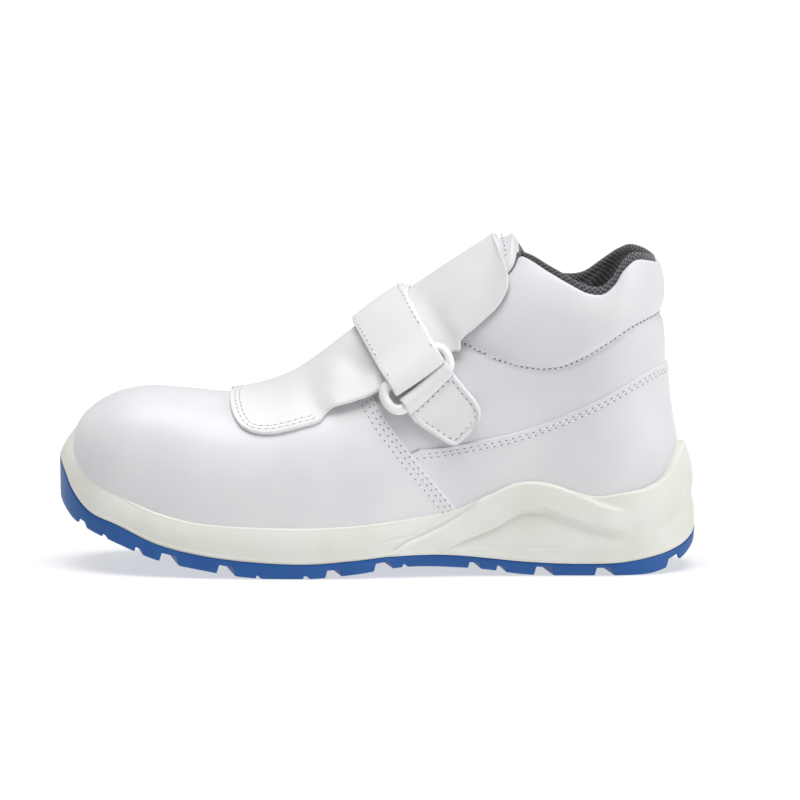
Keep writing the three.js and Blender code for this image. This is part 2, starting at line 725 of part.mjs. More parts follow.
// Sheet on the instep between two offsets. edge gives the runs of its two edges at u from 0 to 1
function instepSheet(edge, outer, inner, rows, cols) {
  const grid = (offset) =>
    range(rows, (v) => {
      const u = spread(v);
      const { s, low, high } = edge(u);
      return range(cols, (w) => {
        const run = low + (high - low) * w;
        const off = typeof offset === "function" ? offset(s, run, u) : offset;
        return instepPoint(s, run, off);
      });
    });
  return sheet(grid(outer), grid(inner));
}

const throatEdge = (u) => ({
  s: THROAT_START + (FLAP_LENGTH + 20 - THROAT_START) * u,
  low: -THROAT_WIDTH / 2,
  high: THROAT_WIDTH / 2,
});

// How far the padded tongue lifts the flap above the upper
function lift(s, run) {
  const up = smoothStep((s - PADDING_START) / (PADDING_FULL - PADDING_START));
  const across = smoothStep(1 - Math.abs(run) / PADDING_REACH);
  return TONGUE_PADDING * up * across;
}
const flapInner = (s, run) => OVERLAY_STEP + SEAT_GAP + lift(s, run);
const flapOuter = (s, run) => flapInner(s, run) + FLAP_THICKNESS;

// Insole
function makeInsole() {
  const ring = upperRings(-UPPER_WALL - 2 * CLEARANCE, [0])[0];
  const top = ring.map((p) => p.clone().add(new THREE.Vector3(0, 0, INSOLE_THICKNESS)));
  return skin([ring, top]);
}

// Midsole
const WAIST_LEVEL = 0.4;
const MIDSOLE_LEVELS = [0, 0.3, WAIST_LEVEL, 0.5, 0.75, 0.9, 1];
function midsoleRings(extra) {
  return MIDSOLE_LEVELS.map((level) =>
    Array.from({ length: AROUND }, (_, k) => {
      const turn = k / AROUND;
      const around = aroundAt(turn);
      const low = soleHeight("seam", around) + CLEARANCE / 2;
      const high = soleHeight("rim", around) - extra * BAND_TOP_SLOPE;
      const lean = soleLine.lean(around) * TOE_LEAN * Math.pow(level, 1.5 + 2.5 * around);
      const waist = HEEL_WAIST * smoothStep((around - 0.8) / 0.12) * (level === WAIST_LEVEL ? 1 : 0);
      const p = insetOutline(turn, lean + waist - extra);
      return new THREE.Vector3(p.x, p.y, low + (high - low) * level);
    }),
  );
}
function makeMidsole() {
  const bandX = MIDSOLE_BAND.map((row) => alongToX(row.along));
  const bandEdge = (key) =>
    MIDSOLE_BAND.map((row, i) => new THREE.Vector2(bandX[i], row[key] * BUMPER_HEIGHT));
  const bandBlock = sideBlock([...bandEdge("high"), ...bandEdge("low").reverse()]);
  return skin(midsoleRings(0))
    .add(skin(midsoleRings(BAND_STEP)).intersect(bandBlock))
    .subtract(upperForm(OVERLAY_STEP + 1.5 * CLEARANCE, { lower: CLEARANCE, raise: OVERRUN }));
}

// Outsole
function makeOutsole() {
  const level = (key, inset, rise) =>
    Array.from({ length: AROUND }, (_, k) => {
      const turn = k / AROUND;
      const p = insetOutline(turn, inset);
      return new THREE.Vector3(p.x, p.y, soleHeight(key, aroundAt(turn)) + rise);
    });
  let sole = skin([level("tread", 1.2, 0), level("tread", 0.1, 1.6), level("seam", -0.2, -CLEARANCE / 2)]);
  const sides = [-1, 1];
  for (const groove of GROOVES)
    for (const side of sides) sole = sole.subtract(grooveCutter(groove, side));
  for (const stretch of CENTRE_GROOVES) sole = sole.subtract(centreCutter(stretch));
  return sole;
}

// Trapezoid cutter across one half of the tread, which swings back towards the edge
function grooveCutter({ along, width, depth }, side) {
  const x = alongToX(along);
  const low = soleHeight("tread", aroundOfX(x));
  const reach = BALL_WIDTH * 0.75;
  const inner = CENTRE_GROOVE_WIDTH / 2;
  const section = (y, shift) => {
    const dx = x + shift;
    return [
      new THREE.Vector3(dx - width / 2 - depth, y, low - OVERRUN),
      new THREE.Vector3(dx - width / 2, y, low),
      new THREE.Vector3(dx - width / 2 + depth * 0.25, y, low + depth),
      new THREE.Vector3(dx + width / 2 - depth * 0.25, y, low + depth),
      new THREE.Vector3(dx + width / 2, y, low),
      new THREE.Vector3(dx + width / 2 + depth, y, low - OVERRUN),
    ];
  };
  const start = section(swingAt(x) + side * inner, -GROOVE_SKEW);
  const end = section(swingAt(x) + side * reach, GROOVE_SKEW * 0.5);
  return hullOf([...start, ...end]);
}

// Cutter for a groove along the middle of the tread
function centreCutter({ from, to }) {
  const stations = range(8, (u) => alongToX(from + (to - from) * u));
  const grid = (rise) =>
    stations.map((x) =>
      [-1, 1].map((side) => {
        const y = swingAt(x) + (side * CENTRE_GROOVE_WIDTH) / 2;
        return new THREE.Vector3(x, y, soleHeight("tread", aroundOfX(x)) + rise);
      }),
    );
  return sheet(grid(CENTRE_GROOVE_DEPTH), grid(-OVERRUN));
}

const hullOf = (points) => solidOf(new ConvexGeometry(points));

// Collar lining
function makeLining() {
  const outer = -UPPER_WALL - 2 * CLEARANCE;
  const rows = [0, 0.35, 0.7, 1];
  const turns = range(28, (u) => LINING_FRONT + (1 - 2 * LINING_FRONT) * u);
  const at = (turn, v, offset, dz) => {
    const c = spread(turn * 2);
    const rise = 1 - LINING_DEPTH * (0.3 + 0.7 * c) * (1 - v);
    const p = chartPoint(turn, rise).addScaledVector(chartNormal(turn, rise), offset);
    p.z += dz;
    return p;
  };
  const pad = (v) => LINING_THICKNESS * (0.35 + 0.65 * Math.sin(Math.PI * Math.min(1, 0.25 + 0.6 * v)));
  const outerGrid = rows.map((v) => turns.map((t) => at(t, v, outer, 0)));
  const innerGrid = rows.map((v) => turns.map((t) => at(t, v, outer - pad(v), 0)));
  outerGrid.push(turns.map((t) => at(t, 1, outer - 0.3, LINING_RISE * 0.7)));
  innerGrid.push(turns.map((t) => at(t, 1, outer - LINING_THICKNESS * 0.95, LINING_RISE * 0.7)));
  outerGrid.push(turns.map((t) => at(t, 1, outer - 1.4, LINING_RISE)));
  innerGrid.push(turns.map((t) => at(t, 1, outer - LINING_THICKNESS * 0.75, LINING_RISE)));
  return sheet(outerGrid, innerGrid).subtract(tongueForm(CLEARANCE));
}

// Tongue
function tongueForm(extra) {
  const half = THROAT_WIDTH / 2 + TONGUE_OVERLAP;
  const under = -UPPER_WALL - CLEARANCE;
  const edge = (margin) => (u) => ({
    s: TONGUE_START - extra + (TONGUE_LENGTH + 2 * extra) * u,
    low: -margin - extra,
    high: margin + extra,
  });
  const inside = under - TONGUE_THICKNESS;
  const wing = instepSheet(edge(half), under + extra, inside - extra, TONGUE_ROWS, TONGUE_COLUMNS);
  const padHalf = THROAT_WIDTH / 2 - CLEARANCE;
  const padTop = (s, run) => flapInner(s, run) - SEAT_GAP + extra;
  const padStart = THROAT_START + CLEARANCE - extra;
  const padEdge = (u) => ({
    s: padStart + (TONGUE_START + TONGUE_LENGTH + extra - padStart) * u,
    low: -padHalf - extra,
    high: padHalf + extra,
  });
  const pad = instepSheet(padEdge, padTop, under - TONGUE_THICKNESS / 2, TONGUE_ROWS, THROAT_COLUMNS);
  return wing.add(pad);
}

// Instep flap
const flapReach = column(FLAP_EDGE, "reach");
function flapEdge(u) {
  const reach = flapReach(u) * FLAP_REACH;
  return { s: FLAP_LENGTH * u, low: -reach, high: reach };
}
const makeFlap = () => instepSheet(flapEdge, flapOuter, flapInner, FLAP_ROWS, FLAP_COLUMNS);

// Strap: from its anchor on the inner side over the flap, round the ring's bar and back over itself
const barRun = -(RING_RUN - (RING_WIDTH - RING_WIRE) / 2);
const lowBarRun = -(RING_RUN + (RING_WIDTH - RING_WIRE) / 2);
const overFlap = OVERLAY_STEP + FLAP_THICKNESS + 2 * SEAT_GAP;
const barOffset = overFlap + STRAP_THICKNESS + CLEARANCE + RING_WIRE / 2;
const strapRows = range(3, (u) => STRAP_PLACE + STRAP_WIDTH * (u - 0.5));
function makeStrap() {
  const half = STRAP_THICKNESS / 2;
  const path = [];
  const flapAt = flapEdge(STRAP_PLACE / FLAP_LENGTH);
  const base = (run) => {
    const past = smoothStep((run - flapAt.high - 2) / 14);
    return overFlap - past * (FLAP_THICKNESS + CLEARANCE) + half;
  };
  for (let run = STRAP_ANCHOR; run > barRun + 3; run -= 6) path.push(new THREE.Vector2(run, base(run)));
  const radius = RING_WIRE / 2 + CLEARANCE + half;
  for (let i = 0; i <= 8; i++) {
    const a = -Math.PI / 2 - (i / 8) * Math.PI;
    path.push(new THREE.Vector2(barRun + radius * Math.cos(a), barOffset + radius * Math.sin(a)));
  }
  const top = (run) => {
    const down = smoothStep((run - barRun) / 12);
    const over = barOffset + radius;
    return over + (base(run) + STRAP_THICKNESS + CLEARANCE - over) * down;
  };
  for (let run = barRun + 4; run < STRAP_END; run += 6) path.push(new THREE.Vector2(run, top(run)));
  return strip(path, STRAP_THICKNESS, strapRows);
}

// Ring: a rounded rectangle that lies along the strap's edge
function makeRing() {
  const long = (RING_LENGTH - RING_WIRE) / 2;
  const wide = (RING_WIDTH - RING_WIRE) / 2;
  const corner = Math.min(wide, long - STRAP_WIDTH / 2 - CLEARANCE);
  const path = [];
  const arc = (cs, cr, from) => {
    for (let i = 0; i < 6; i++) {
      const a = from + (i / 5) * (Math.PI / 2);
      path.push({ s: cs + corner * Math.cos(a), r: cr + corner * Math.sin(a), a });
    }
  };
  const bar = (r, sign) => {
    for (const share of [0.67, 0.33, 0, -0.33, -0.67])
      path.push({ s: sign * share * (long - corner), r, a: sign * (Math.PI / 2) });
  };
  arc(long - corner, wide - corner, 0);
  bar(wide, 1);
  arc(-(long - corner), wide - corner, Math.PI / 2);
  arc(-(long - corner), -(wide - corner), Math.PI);
  bar(-wide, -1);
  arc(long - corner, -(wide - corner), 1.5 * Math.PI);
  const sides = 6;
  const rings = path.map(({ s, r, a }) =>
    Array.from({ length: sides }, (_, j) => {
      const b = (j / sides) * 2 * Math.PI;
      const out = (RING_WIRE / 2) * Math.cos(b);
      return strapPoint(
        STRAP_PLACE + s + out * Math.cos(a),
        -(RING_RUN + r + out * Math.sin(a)),
        barOffset + (RING_WIRE / 2) * Math.sin(b),
      );
    }),
  );
  return torus(rings);
}

// Closed tube over rings whose last one joins the first
function torus(rings) {
  const n = rings[0].length;
  const points = rings.flat();
  const triangles = [];
  rings.forEach((_, r) => {
    const next = ((r + 1) % rings.length) * n;
    for (let k = 0; k < n; k++) {
      const k1 = (k + 1) % n;
      triangles.push([r * n + k, next + k, next + k1], [r * n + k, next + k1, r * n + k1]);
    }
  });
  return solidFrom(points, triangles);
}

// Tab that holds the ring
function makeTab() {
  const half = TAB_LOOP_WALL / 2;
  const quarter = OVERLAY_STEP + CLEARANCE;
  const radius = RING_WIRE / 2 + CLEARANCE + half;
  const path = [new THREE.Vector2(lowBarRun - 11, quarter + half)];
  const from = THREE.MathUtils.degToRad(-110);
  const to = THREE.MathUtils.degToRad(125);
  for (const a of range(9, (u) => from + (to - from) * u))
    path.push(new THREE.Vector2(lowBarRun + radius * Math.cos(a), barOffset + radius * Math.sin(a)));
  path.push(new THREE.Vector2(lowBarRun - 12, quarter + TAB_LOOP_WALL + half + 0.1));
  const rows = range(4, (u) => STRAP_PLACE + TAB_LOOP_WIDTH * (u - 0.5));
  const band = strip(path, TAB_LOOP_WALL, rows);
  const frontAt = column(TAB_SHAPE, "front", "down");
  const backAt = column(TAB_SHAPE, "back", "down");
  const grid = (offset) =>
    range(5, (v) =>
      range(4, (w) => {
        const share = frontAt(v) + (backAt(v) - frontAt(v)) * w;
        return strapPoint(STRAP_PLACE + share * TAB_WIDTH, lowBarRun - v * TAB_LENGTH, offset);
      }),
    );
  return band.add(sheet(grid(quarter + TAB_THICKNESS), grid(quarter)));
}

// Looks of the materials
const MATERIALS = {
  outsole: { color: "#35649d", roughness: 0.55 },
  midsole: { color: "#e6e6dd", roughness: 0.6 },
  insole: { color: "#6a6a6e", roughness: 0.95 },
  upper: { color: "#f1f1f4", roughness: 0.5 },
  collar_lining: { color: "#4a494c", roughness: 0.95 },
  tongue: { color: "#f1f1f3", roughness: 0.5 },
  instep_flap: { color: "#f3f3f5", roughness: 0.5 },
  strap: { color: "#f2f2f4", roughness: 0.5 },
  strap_ring: { color: "#f0f0ee", roughness: 0.3 },
  ring_tab: { color: "#f1f1f3", roughness: 0.5 },
};

const parts = {
  outsole: makeOutsole(),
  midsole: makeMidsole(),
  insole: makeInsole(),
  upper: makeUpper(),
  collar_lining: makeLining(),
  tongue: tongueForm(0),
  instep_flap: makeFlap(),
  strap: makeStrap(),
  strap_ring: makeRing(),
  ring_tab: makeTab(),
};

const boot = new THREE.Group();
for (const [name, solid] of Object.entries(parts)) {
  const { vertProperties, triVerts } = solid.getMesh();
  const geometry = new THREE.BufferGeometry();
  geometry.setAttribute("position", new THREE.BufferAttribute(vertProperties, 3));
  geometry.setIndex(new THREE.BufferAttribute(triVerts, 1));
  geometry.computeVertexNormals();
  const material = new THREE.MeshStandardMaterial({ metalness: 0, ...MATERIALS[name] });
  const mesh = new THREE.Mesh(geometry, material);
  mesh.name = name;
  boot.add(mesh);
}

// The origin goes under the middle of the whole boot
const box = new THREE.Box3().setFromObject(boot);
const middle = box.getCenter(new THREE.Vector3());
boot.position.set(-middle.x, -middle.y, -box.min.z);

export default boot;
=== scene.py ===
"""Looks of the white safety boot. Shapes are worked out in millimetres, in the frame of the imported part:
the toe points to -X, the outer side of the foot is -Y, and the floor is z = 0."""
import math

import bmesh
import bpy
import numpy as np
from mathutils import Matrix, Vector


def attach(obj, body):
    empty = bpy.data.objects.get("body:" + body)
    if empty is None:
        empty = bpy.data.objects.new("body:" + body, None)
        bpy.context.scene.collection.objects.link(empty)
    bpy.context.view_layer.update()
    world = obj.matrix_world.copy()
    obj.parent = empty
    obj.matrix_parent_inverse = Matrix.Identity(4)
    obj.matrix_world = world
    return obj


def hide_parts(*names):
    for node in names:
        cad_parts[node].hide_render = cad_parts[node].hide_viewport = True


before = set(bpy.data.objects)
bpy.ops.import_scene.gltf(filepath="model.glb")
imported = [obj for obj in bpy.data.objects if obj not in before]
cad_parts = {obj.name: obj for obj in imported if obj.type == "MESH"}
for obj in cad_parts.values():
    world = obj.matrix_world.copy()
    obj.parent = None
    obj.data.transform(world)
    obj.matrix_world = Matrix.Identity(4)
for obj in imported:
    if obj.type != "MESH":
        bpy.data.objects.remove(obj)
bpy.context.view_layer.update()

MM = 0.001

# The photograph's frame: its scale and the point under the part's origin, on the near side
PIXELS_PER_MM = 2.08
ORIGIN_COLUMN = 377
FLOOR_ROW = 574

# Driving sizes, as in the part
SOLE_LENGTH = 305
BALL_WIDTH = 110
BOOT_HEIGHT = 157
BUMPER_HEIGHT = 69
CLEARANCE = 0.3
SEAT_GAP = 0.7
UPPER_WALL = 2.2
OVERLAY_STEP = 1.3
RIM_WIDTH = 5
TOE_LEAN = 10.5
FLAP_THICKNESS = 2
FLAP_LENGTH = 148
FLAP_START = 0.2655
TONGUE_PADDING = 7
PADDING_START = 5
PADDING_FULL = 90
PADDING_REACH = 42
THROAT_WIDTH = 34
THROAT_START = 38
INSOLE_THICKNESS = 5
TONGUE_START = 28
INSTEP_SLOPE = math.radians(33)
STRAP_WIDTH = 29.5
STRAP_THICKNESS = 1.8
STRAP_PLACE = 83.2
STRAP_SKEW = 0.12
STRAP_ANCHOR = 62
STRAP_END = 26
RING_LENGTH = 40.5
RING_WIDTH = 16
RING_WIRE = 4.8
RING_RUN = 46
TAB_THICKNESS = 2.6
TAB_LOOP_WIDTH = 25
TAB_LOOP_WALL = 1.5
GROOVE_SKEW = 9
CENTRE_GROOVE = 5
CENTRE_DEPTH = 3
TOE_ROUND = (62, 2.3)
HEEL_ROUND = (44, 2.25)
BACK_ROUND = (38, 2.15)
RUN_ON = 150

# Tables of the part's forms. along: share of the sole length from the toe
SOLE_OUTLINE = np.array([
    # along, lateral, medial, swing
    [0.0, 0.455, 0.42, 0.055], [0.12, 0.465, 0.45, 0.038], [0.22, 0.487, 0.477, 0.02],
    [0.3, 0.5, 0.49, 0.01], [0.385, 0.502, 0.473, 0.0], [0.485, 0.468, 0.4, 0.0],
    [0.6, 0.405, 0.335, 0.0], [0.7, 0.378, 0.328, -0.005], [0.83, 0.373, 0.35, -0.01],
    [1.0, 0.364, 0.355, -0.01],
])
SOLE_LINES = np.array([
    # around, tread, seam, floor, rim, lean
    [0.0, 0.5, 0.76, 0.7, 1.0, 1.0], [0.06, 0.43, 0.68, 0.65, 0.93, 0.95],
    [0.1, 0.355, 0.54, 0.61, 0.84, 0.8], [0.14, 0.3, 0.43, 0.53, 0.72, 0.6],
    [0.2, 0.215, 0.345, 0.41, 0.55, 0.4], [0.26, 0.115, 0.225, 0.315, 0.437, 0.3],
    [0.31, 0.06, 0.16, 0.25, 0.377, 0.28], [0.36, 0.012, 0.12, 0.215, 0.355, 0.26],
    [0.385, 0.0, 0.108, 0.208, 0.35, 0.25], [0.435, 0.0, 0.1, 0.203, 0.347, 0.25],
    [0.475, 0.022, 0.118, 0.213, 0.357, 0.25], [0.53, 0.07, 0.152, 0.255, 0.397, 0.25],
    [0.58, 0.06, 0.145, 0.295, 0.458, 0.25], [0.615, 0.04, 0.122, 0.318, 0.56, 0.25],
    [0.645, 0.012, 0.102, 0.33, 0.642, 0.25], [0.675, 0.0, 0.09, 0.337, 0.643, 0.25],
    [0.71, 0.0, 0.083, 0.342, 0.583, 0.25], [0.735, 0.0, 0.083, 0.346, 0.548, 0.25],
    [0.78, 0.0, 0.09, 0.351, 0.568, 0.25], [0.83, 0.008, 0.12, 0.358, 0.6, 0.27],
    [0.87, 0.045, 0.152, 0.366, 0.655, 0.33], [0.91, 0.1, 0.19, 0.375, 0.755, 0.4],
    [0.95, 0.16, 0.232, 0.383, 0.84, 0.45], [1.0, 0.21, 0.28, 0.39, 0.87, 0.48],
])
FRONT_PROFILE = np.array([
    # along, height, round, power
    [0.024, 0.28, 45, 2.35], [0.0225, 0.335, 45, 2.35], [0.026, 0.39, 44, 2.35],
    [0.0377, 0.442, 42, 2.35], [0.062, 0.487, 40, 2.35], [0.096, 0.52, 40, 2.35],
    [0.139, 0.5355, 41, 2.3], [0.2, 0.53, 43, 2.25], [0.27, 0.52, 48, 2.15],
    [0.33, 0.54, 52, 2.1], [0.39, 0.577, 56, 2.05], [0.46, 0.652, 58, 2.0],
    [0.56, 0.777, 56, 2.0], [0.65, 0.892, 50, 2.0], [0.71, 0.968, 42, 2.0],
])
BACK_PROFILE = np.array([
    [0.966, 0.171], [0.973, 0.25], [0.9735, 0.33], [0.9685, 0.392], [0.961, 0.48],
    [0.956, 0.555], [0.9535, 0.625], [0.953, 0.7], [0.95, 0.752], [0.945, 0.784],
    [0.9485, 0.82], [0.949, 0.875], [0.944, 0.935],
])
COLLAR_LINE = np.array([
    # along, height, extra height of the inner side
    [0.71, 0.968, 0], [0.735, 0.955, -0.03], [0.765, 0.922, -0.042], [0.8, 0.884, -0.026],
    [0.83, 0.856, 0.01], [0.8535, 0.853, 0.043], [0.872, 0.88, 0.04], [0.889, 0.927, 0.012],
    [0.907, 0.952, 0], [0.928, 0.947, 0], [0.944, 0.935, 0],
])
SHAFT_BREADTH = np.array([
    [0.0, 0.37, 0.36], [0.3, 0.4, 0.39], [0.5, 0.355, 0.34], [0.62, 0.325, 0.31],
    [0.75, 0.33, 0.315], [0.88, 0.33, 0.32], [1.0, 0.325, 0.318],
])
VAMP_EDGE = np.array([
    [0.43, 0.7], [0.494, 0.543], [0.513, 0.48], [0.55, 0.38], [0.59, 0.283], [0.625, 0.2], [0.66, 0.1],
])
COUNTER_EDGE = np.array([
    [0.53, 0.381], [0.606, 0.391], [0.656, 0.408], [0.709, 0.429], [0.767, 0.465],
    [0.824, 0.512], [0.862, 0.548], [0.9, 0.589], [0.934, 0.621], [0.99, 0.63],
])
GROOVES = np.array([
    # along, width, depth
    [0.045, 5.3, 2.4], [0.082, 3, 1.3], [0.132, 4.2, 2.4], [0.178, 9, 4.2], [0.266, 8.6, 4.2],
    [0.316, 2.4, 1.3], [0.391, 3, 1.3], [0.434, 7.5, 3.4], [0.514, 9, 3.6], [0.549, 2.6, 1.3],
    [0.66, 6, 2.8], [0.702, 4.6, 2.4], [0.769, 9, 4], [0.864, 9, 3.6], [0.969, 5.3, 3.6],
])
# Stitch line under the collar's padding, as x and z on the outer side
PADDING_LINE = np.array([
    [30, 113.5], [40.9, 110.1], [59.1, 102.2], [76, 98.4], [86, 98.8], [97.6, 103.2], [110, 110.5],
    [121.6, 117.6], [136, 122.6], [150, 123.5],
])


def through(knots, values, level=False):
    """A smooth function through points, level at both ends if asked."""
    k = np.asarray(knots, float)
    v = np.asarray(values, float)
    slope = np.diff(v) / np.diff(k)
    tangent = np.empty_like(v)
    before, after = k[1:-1] - k[:-2], k[2:] - k[1:-1]
    tangent[1:-1] = (before * slope[1:] + after * slope[:-1]) / (before + after)
    tangent[0], tangent[-1] = (0, 0) if level else (slope[0], slope[-1])

    def at(x):
        x = np.clip(x, k[0], k[-1])
        i = np.clip(np.searchsorted(k, x, side="right") - 1, 0, len(k) - 2)
        h = k[i + 1] - k[i]
        u = (x - k[i]) / h
        return (v[i] * (1 + 2 * u) * (1 - u) ** 2 + tangent[i] * h * u * (1 - u) ** 2
                + v[i + 1] * u * u * (3 - 2 * u) + tangent[i + 1] * h * u * u * (u - 1))
    return at


def column(table, i, level=False):
    return through(table[:, 0], table[:, i], level)


def smooth(u):
    u = np.clip(u, 0, 1)
    return u * u * (3 - 2 * u)


def rounded(distance, length, power):
    u = np.clip(distance / length, 0, 1)
    return (1 - (1 - u) ** power) ** (1 / power)


def running(points):
    """Length along a polyline at each of its points."""
    return np.concatenate([[0], np.cumsum(np.linalg.norm(np.diff(points, axis=0), axis=1))])


def round_edge(distance):
    """Height of a quarter circle from 0 at an edge to 1 at one radius from it."""
    return np.sqrt(np.clip(1 - (1 - np.clip(distance, 0, 1)) ** 2, 0, 1))


def along_to_x(along):
    return (along - 0.5) * SOLE_LENGTH


def x_to_along(x):
    return x / SOLE_LENGTH + 0.5


def side_points(table):
    return np.stack([along_to_x(table[:, 0]), table[:, 1] * BOOT_HEIGHT], 1)


class SideCurve:
    """A smooth curve through side-view points, from 0 at its start to 1 at its end."""

    def __init__(self, points):
        run = np.concatenate([[0], np.cumsum(np.hypot(*np.diff(points, axis=0).T))])
        self.share = run / run[-1]
        self.x = through(self.share, points[:, 0])
        self.z = through(self.share, points[:, 1])

    def at(self, u):
        return np.stack([self.x(u), self.z(u)], -1)


# Sole outline
outline_lateral = column(SOLE_OUTLINE, 1)
outline_medial = column(SOLE_OUTLINE, 2)
outline_swing = column(SOLE_OUTLINE, 3)
shaft_lateral = column(SHAFT_BREADTH, 1)
shaft_medial = column(SHAFT_BREADTH, 2)
sole_line = {key: column(SOLE_LINES, i + 1, True)
             for i, key in enumerate(["tread", "seam", "floor", "rim", "lean"])}


def swing_at(x):
    return outline_swing(x_to_along(x)) * BALL_WIDTH


def sole_breadth(x, side):
    a = x_to_along(x)
    return np.where(side < 0, outline_lateral(a), outline_medial(a)) * BALL_WIDTH


def outline_point(turn):
    turn = turn % 1
    x = along_to_x((1 - np.cos(turn * 2 * np.pi)) / 2)
    side = np.where(turn <= 0.5, -1, 1)
    toe = rounded(x + SOLE_LENGTH / 2, *TOE_ROUND)
    heel = rounded(SOLE_LENGTH / 2 - x, *HEEL_ROUND)
    return np.stack([x, swing_at(x) + side * sole_breadth(x, side) * toe * heel], -1)


def inset_outline(turn, inset):
    tangent = outline_point(turn + 0.002) - outline_point(turn - 0.002)
    tangent /= np.linalg.norm(tangent, axis=-1, keepdims=True)
    inward = np.stack([-tangent[..., 1], tangent[..., 0]], -1)
    return outline_point(turn) + inward * np.asarray(inset)[..., None]


def around_at(turn):
    turn = turn % 1
    return 2 * np.minimum(turn, 1 - turn)


def around_of_x(x):
    return np.arccos(np.clip(1 - 2 * x_to_along(x), -1, 1)) / np.pi


def sole_height(key, around):
    return np.maximum(0, sole_line[key](around)) * BUMPER_HEIGHT


# Side profiles of the upper
def profile_of(table):
    curve = SideCurve(side_points(table))
    u = np.linspace(0, 1, 71)
    line = curve.at(u)
    first = line[0] + (line[0] - line[1]) / np.linalg.norm(line[0] - line[1]) * RUN_ON
    last = line[-1] + (line[-1] - line[-2]) / np.linalg.norm(line[-1] - line[-2]) * RUN_ON
    line = np.vstack([first, line, last])
    extra = np.ones((len(line), 2))
    if table.shape[1] > 2:
        for i in (0, 1):
            values = through(curve.share, table[:, i + 2])(u)
            extra[:, i] = np.concatenate([values[:1], values, values[-1:]])
    return curve, line, extra


front_curve, front_line, front_extra = profile_of(FRONT_PROFILE)
back_curve, back_line, back_extra = profile_of(BACK_PROFILE)


def near_to(line, extra, x, z, sign):
    """Smooth distance to a profile, and the profile's roundness as seen from the point."""
    shape = x.shape
    x, z = x.ravel(), z.ravel()
    out = np.zeros((3, x.size))
    for start in range(0, x.size, 20000):
        part = slice(start, start + 20000)
        dx = line[:, 0][None] - x[part, None]
        dz = line[:, 1][None] - z[part, None]
        r = np.hypot(dx, dz)
        dot = dx[:, :-1] * dx[:, 1:] + dz[:, :-1] * dz[:, 1:]
        cross = sign * (dx[:, :-1] * dz[:, 1:] - dz[:, :-1] * dx[:, 1:])
        on_line = ((np.abs(cross) < 1e-9) & (dot <= 0)).any(1)
        inverse = 1 / np.maximum(r, 1e-9)
        with np.errstate(divide="ignore", invalid="ignore"):
            w = cross / (r[:, :-1] * r[:, 1:] + dot) * (inverse[:, :-1] + inverse[:, 1:])
            total = w.sum(1)
            out[0, part] = np.where(on_line | (total <= 0), 0, 2 / total)
            out[1, part] = np.where(on_line, 1, (w * extra[:-1, 0]).sum(1) / total)
            out[2, part] = np.where(on_line, 2, (w * extra[:-1, 1]).sum(1) / total)
    out[0] = np.nan_to_num(out[0])
    out[1:] = np.nan_to_num(out[1:], nan=1.0, posinf=1.0, neginf=1.0)
    return [o.reshape(shape) for o in out]


def half_breadth(x, z, side):
    low = sole_breadth(x, side) - RIM_WIDTH
    a = x_to_along(x)
    high = np.where(side < 0, shaft_lateral(a), shaft_medial(a)) * BALL_WIDTH
    flat = low + (high - low) * smooth((z / BOOT_HEIGHT - 0.2) / 0.7)
    f, round_f, power_f = near_to(front_line, front_extra, x, z, -1)
    b, _, _ = near_to(back_line, back_extra, x, z, 1)
    round_f, power_f = np.maximum(round_f, 1), np.maximum(power_f, 1)
    return flat * rounded(f, round_f, power_f) * rounded(b, *BACK_ROUND)


def on_upper(x, z, side):
    y = swing_at(x) * (1 - z / BOOT_HEIGHT) + side * half_breadth(x, z, side)
    return np.stack([x, y, z], -1)


collar_curve = SideCurve(side_points(COLLAR_LINE))
collar_high = through(collar_curve.share, COLLAR_LINE[:, 2] * BOOT_HEIGHT)
floor_start, floor_end = front_curve.at(0.0), back_curve.at(0.0)
lift_start = floor_start[1] - sole_height("floor", around_of_x(floor_start[0]))
lift_end = floor_end[1] - sole_height("floor", around_of_x(floor_end[0]))


def chart_side(turn, rise):
    """Side-view point of the upper's chart. turn goes round from the toe, rise up from the sole."""
    turn, rise = np.broadcast_arrays(turn % 1, rise)
    c = ((1 - np.cos(turn * 2 * np.pi)) / 2)
    side = np.where(turn <= 0.5, -1, 1)
    top = collar_curve.at(c)
    top[..., 1] += np.where(side > 0, collar_high(c), 0)
    x = floor_start[0] + (floor_end[0] - floor_start[0]) * c
    base = sole_height("floor", around_of_x(x)) + lift_start * (1 - c) ** 8 + lift_end * c ** 8
    floor = np.stack([x, base], -1)
    c, r = c[..., None], rise[..., None]
    p = (floor * (1 - r) + top * r + front_curve.at(rise) * (1 - c) + back_curve.at(rise) * c
         - floor_start * (1 - c) * (1 - r) - front_curve.at(1.0) * (1 - c) * r
         - floor_end * c * (1 - r) - back_curve.at(1.0) * c * r)
    return p[..., 0], p[..., 1], side


def chart(turn, rise):
    return on_upper(*chart_side(turn, rise))


def unit(v):
    return v / np.maximum(np.linalg.norm(v, axis=-1, keepdims=True), 1e-12)


NUDGE = 0.004


def chart_normal(turn, rise):
    turn, rise = np.broadcast_arrays(turn, rise)
    around = chart(turn + NUDGE, rise) - chart(turn - NUDGE, rise)
    up = chart(turn, np.minimum(rise + NUDGE, 1)) - chart(turn, np.maximum(rise - NUDGE, 0))
    return unit(np.cross(around, up))


# Chart of the instep: s runs up the ridge from the flap's front edge, run goes down from the ridge
up_slope = np.array([math.cos(INSTEP_SLOPE), math.sin(INSTEP_SLOPE)])
down_slope = np.array([math.sin(INSTEP_SLOPE), -math.cos(INSTEP_SLOPE)])
flap_start = front_line[np.nonzero((x_to_along(front_line[:, 0]) > FLAP_START)
                                   & (front_line[:, 1] > BOOT_HEIGHT / 2))[0][0]]
TABLE_S = np.arange(-16, 181, 1.0)
TABLE_RUN = np.arange(-88, 89, 1.0)


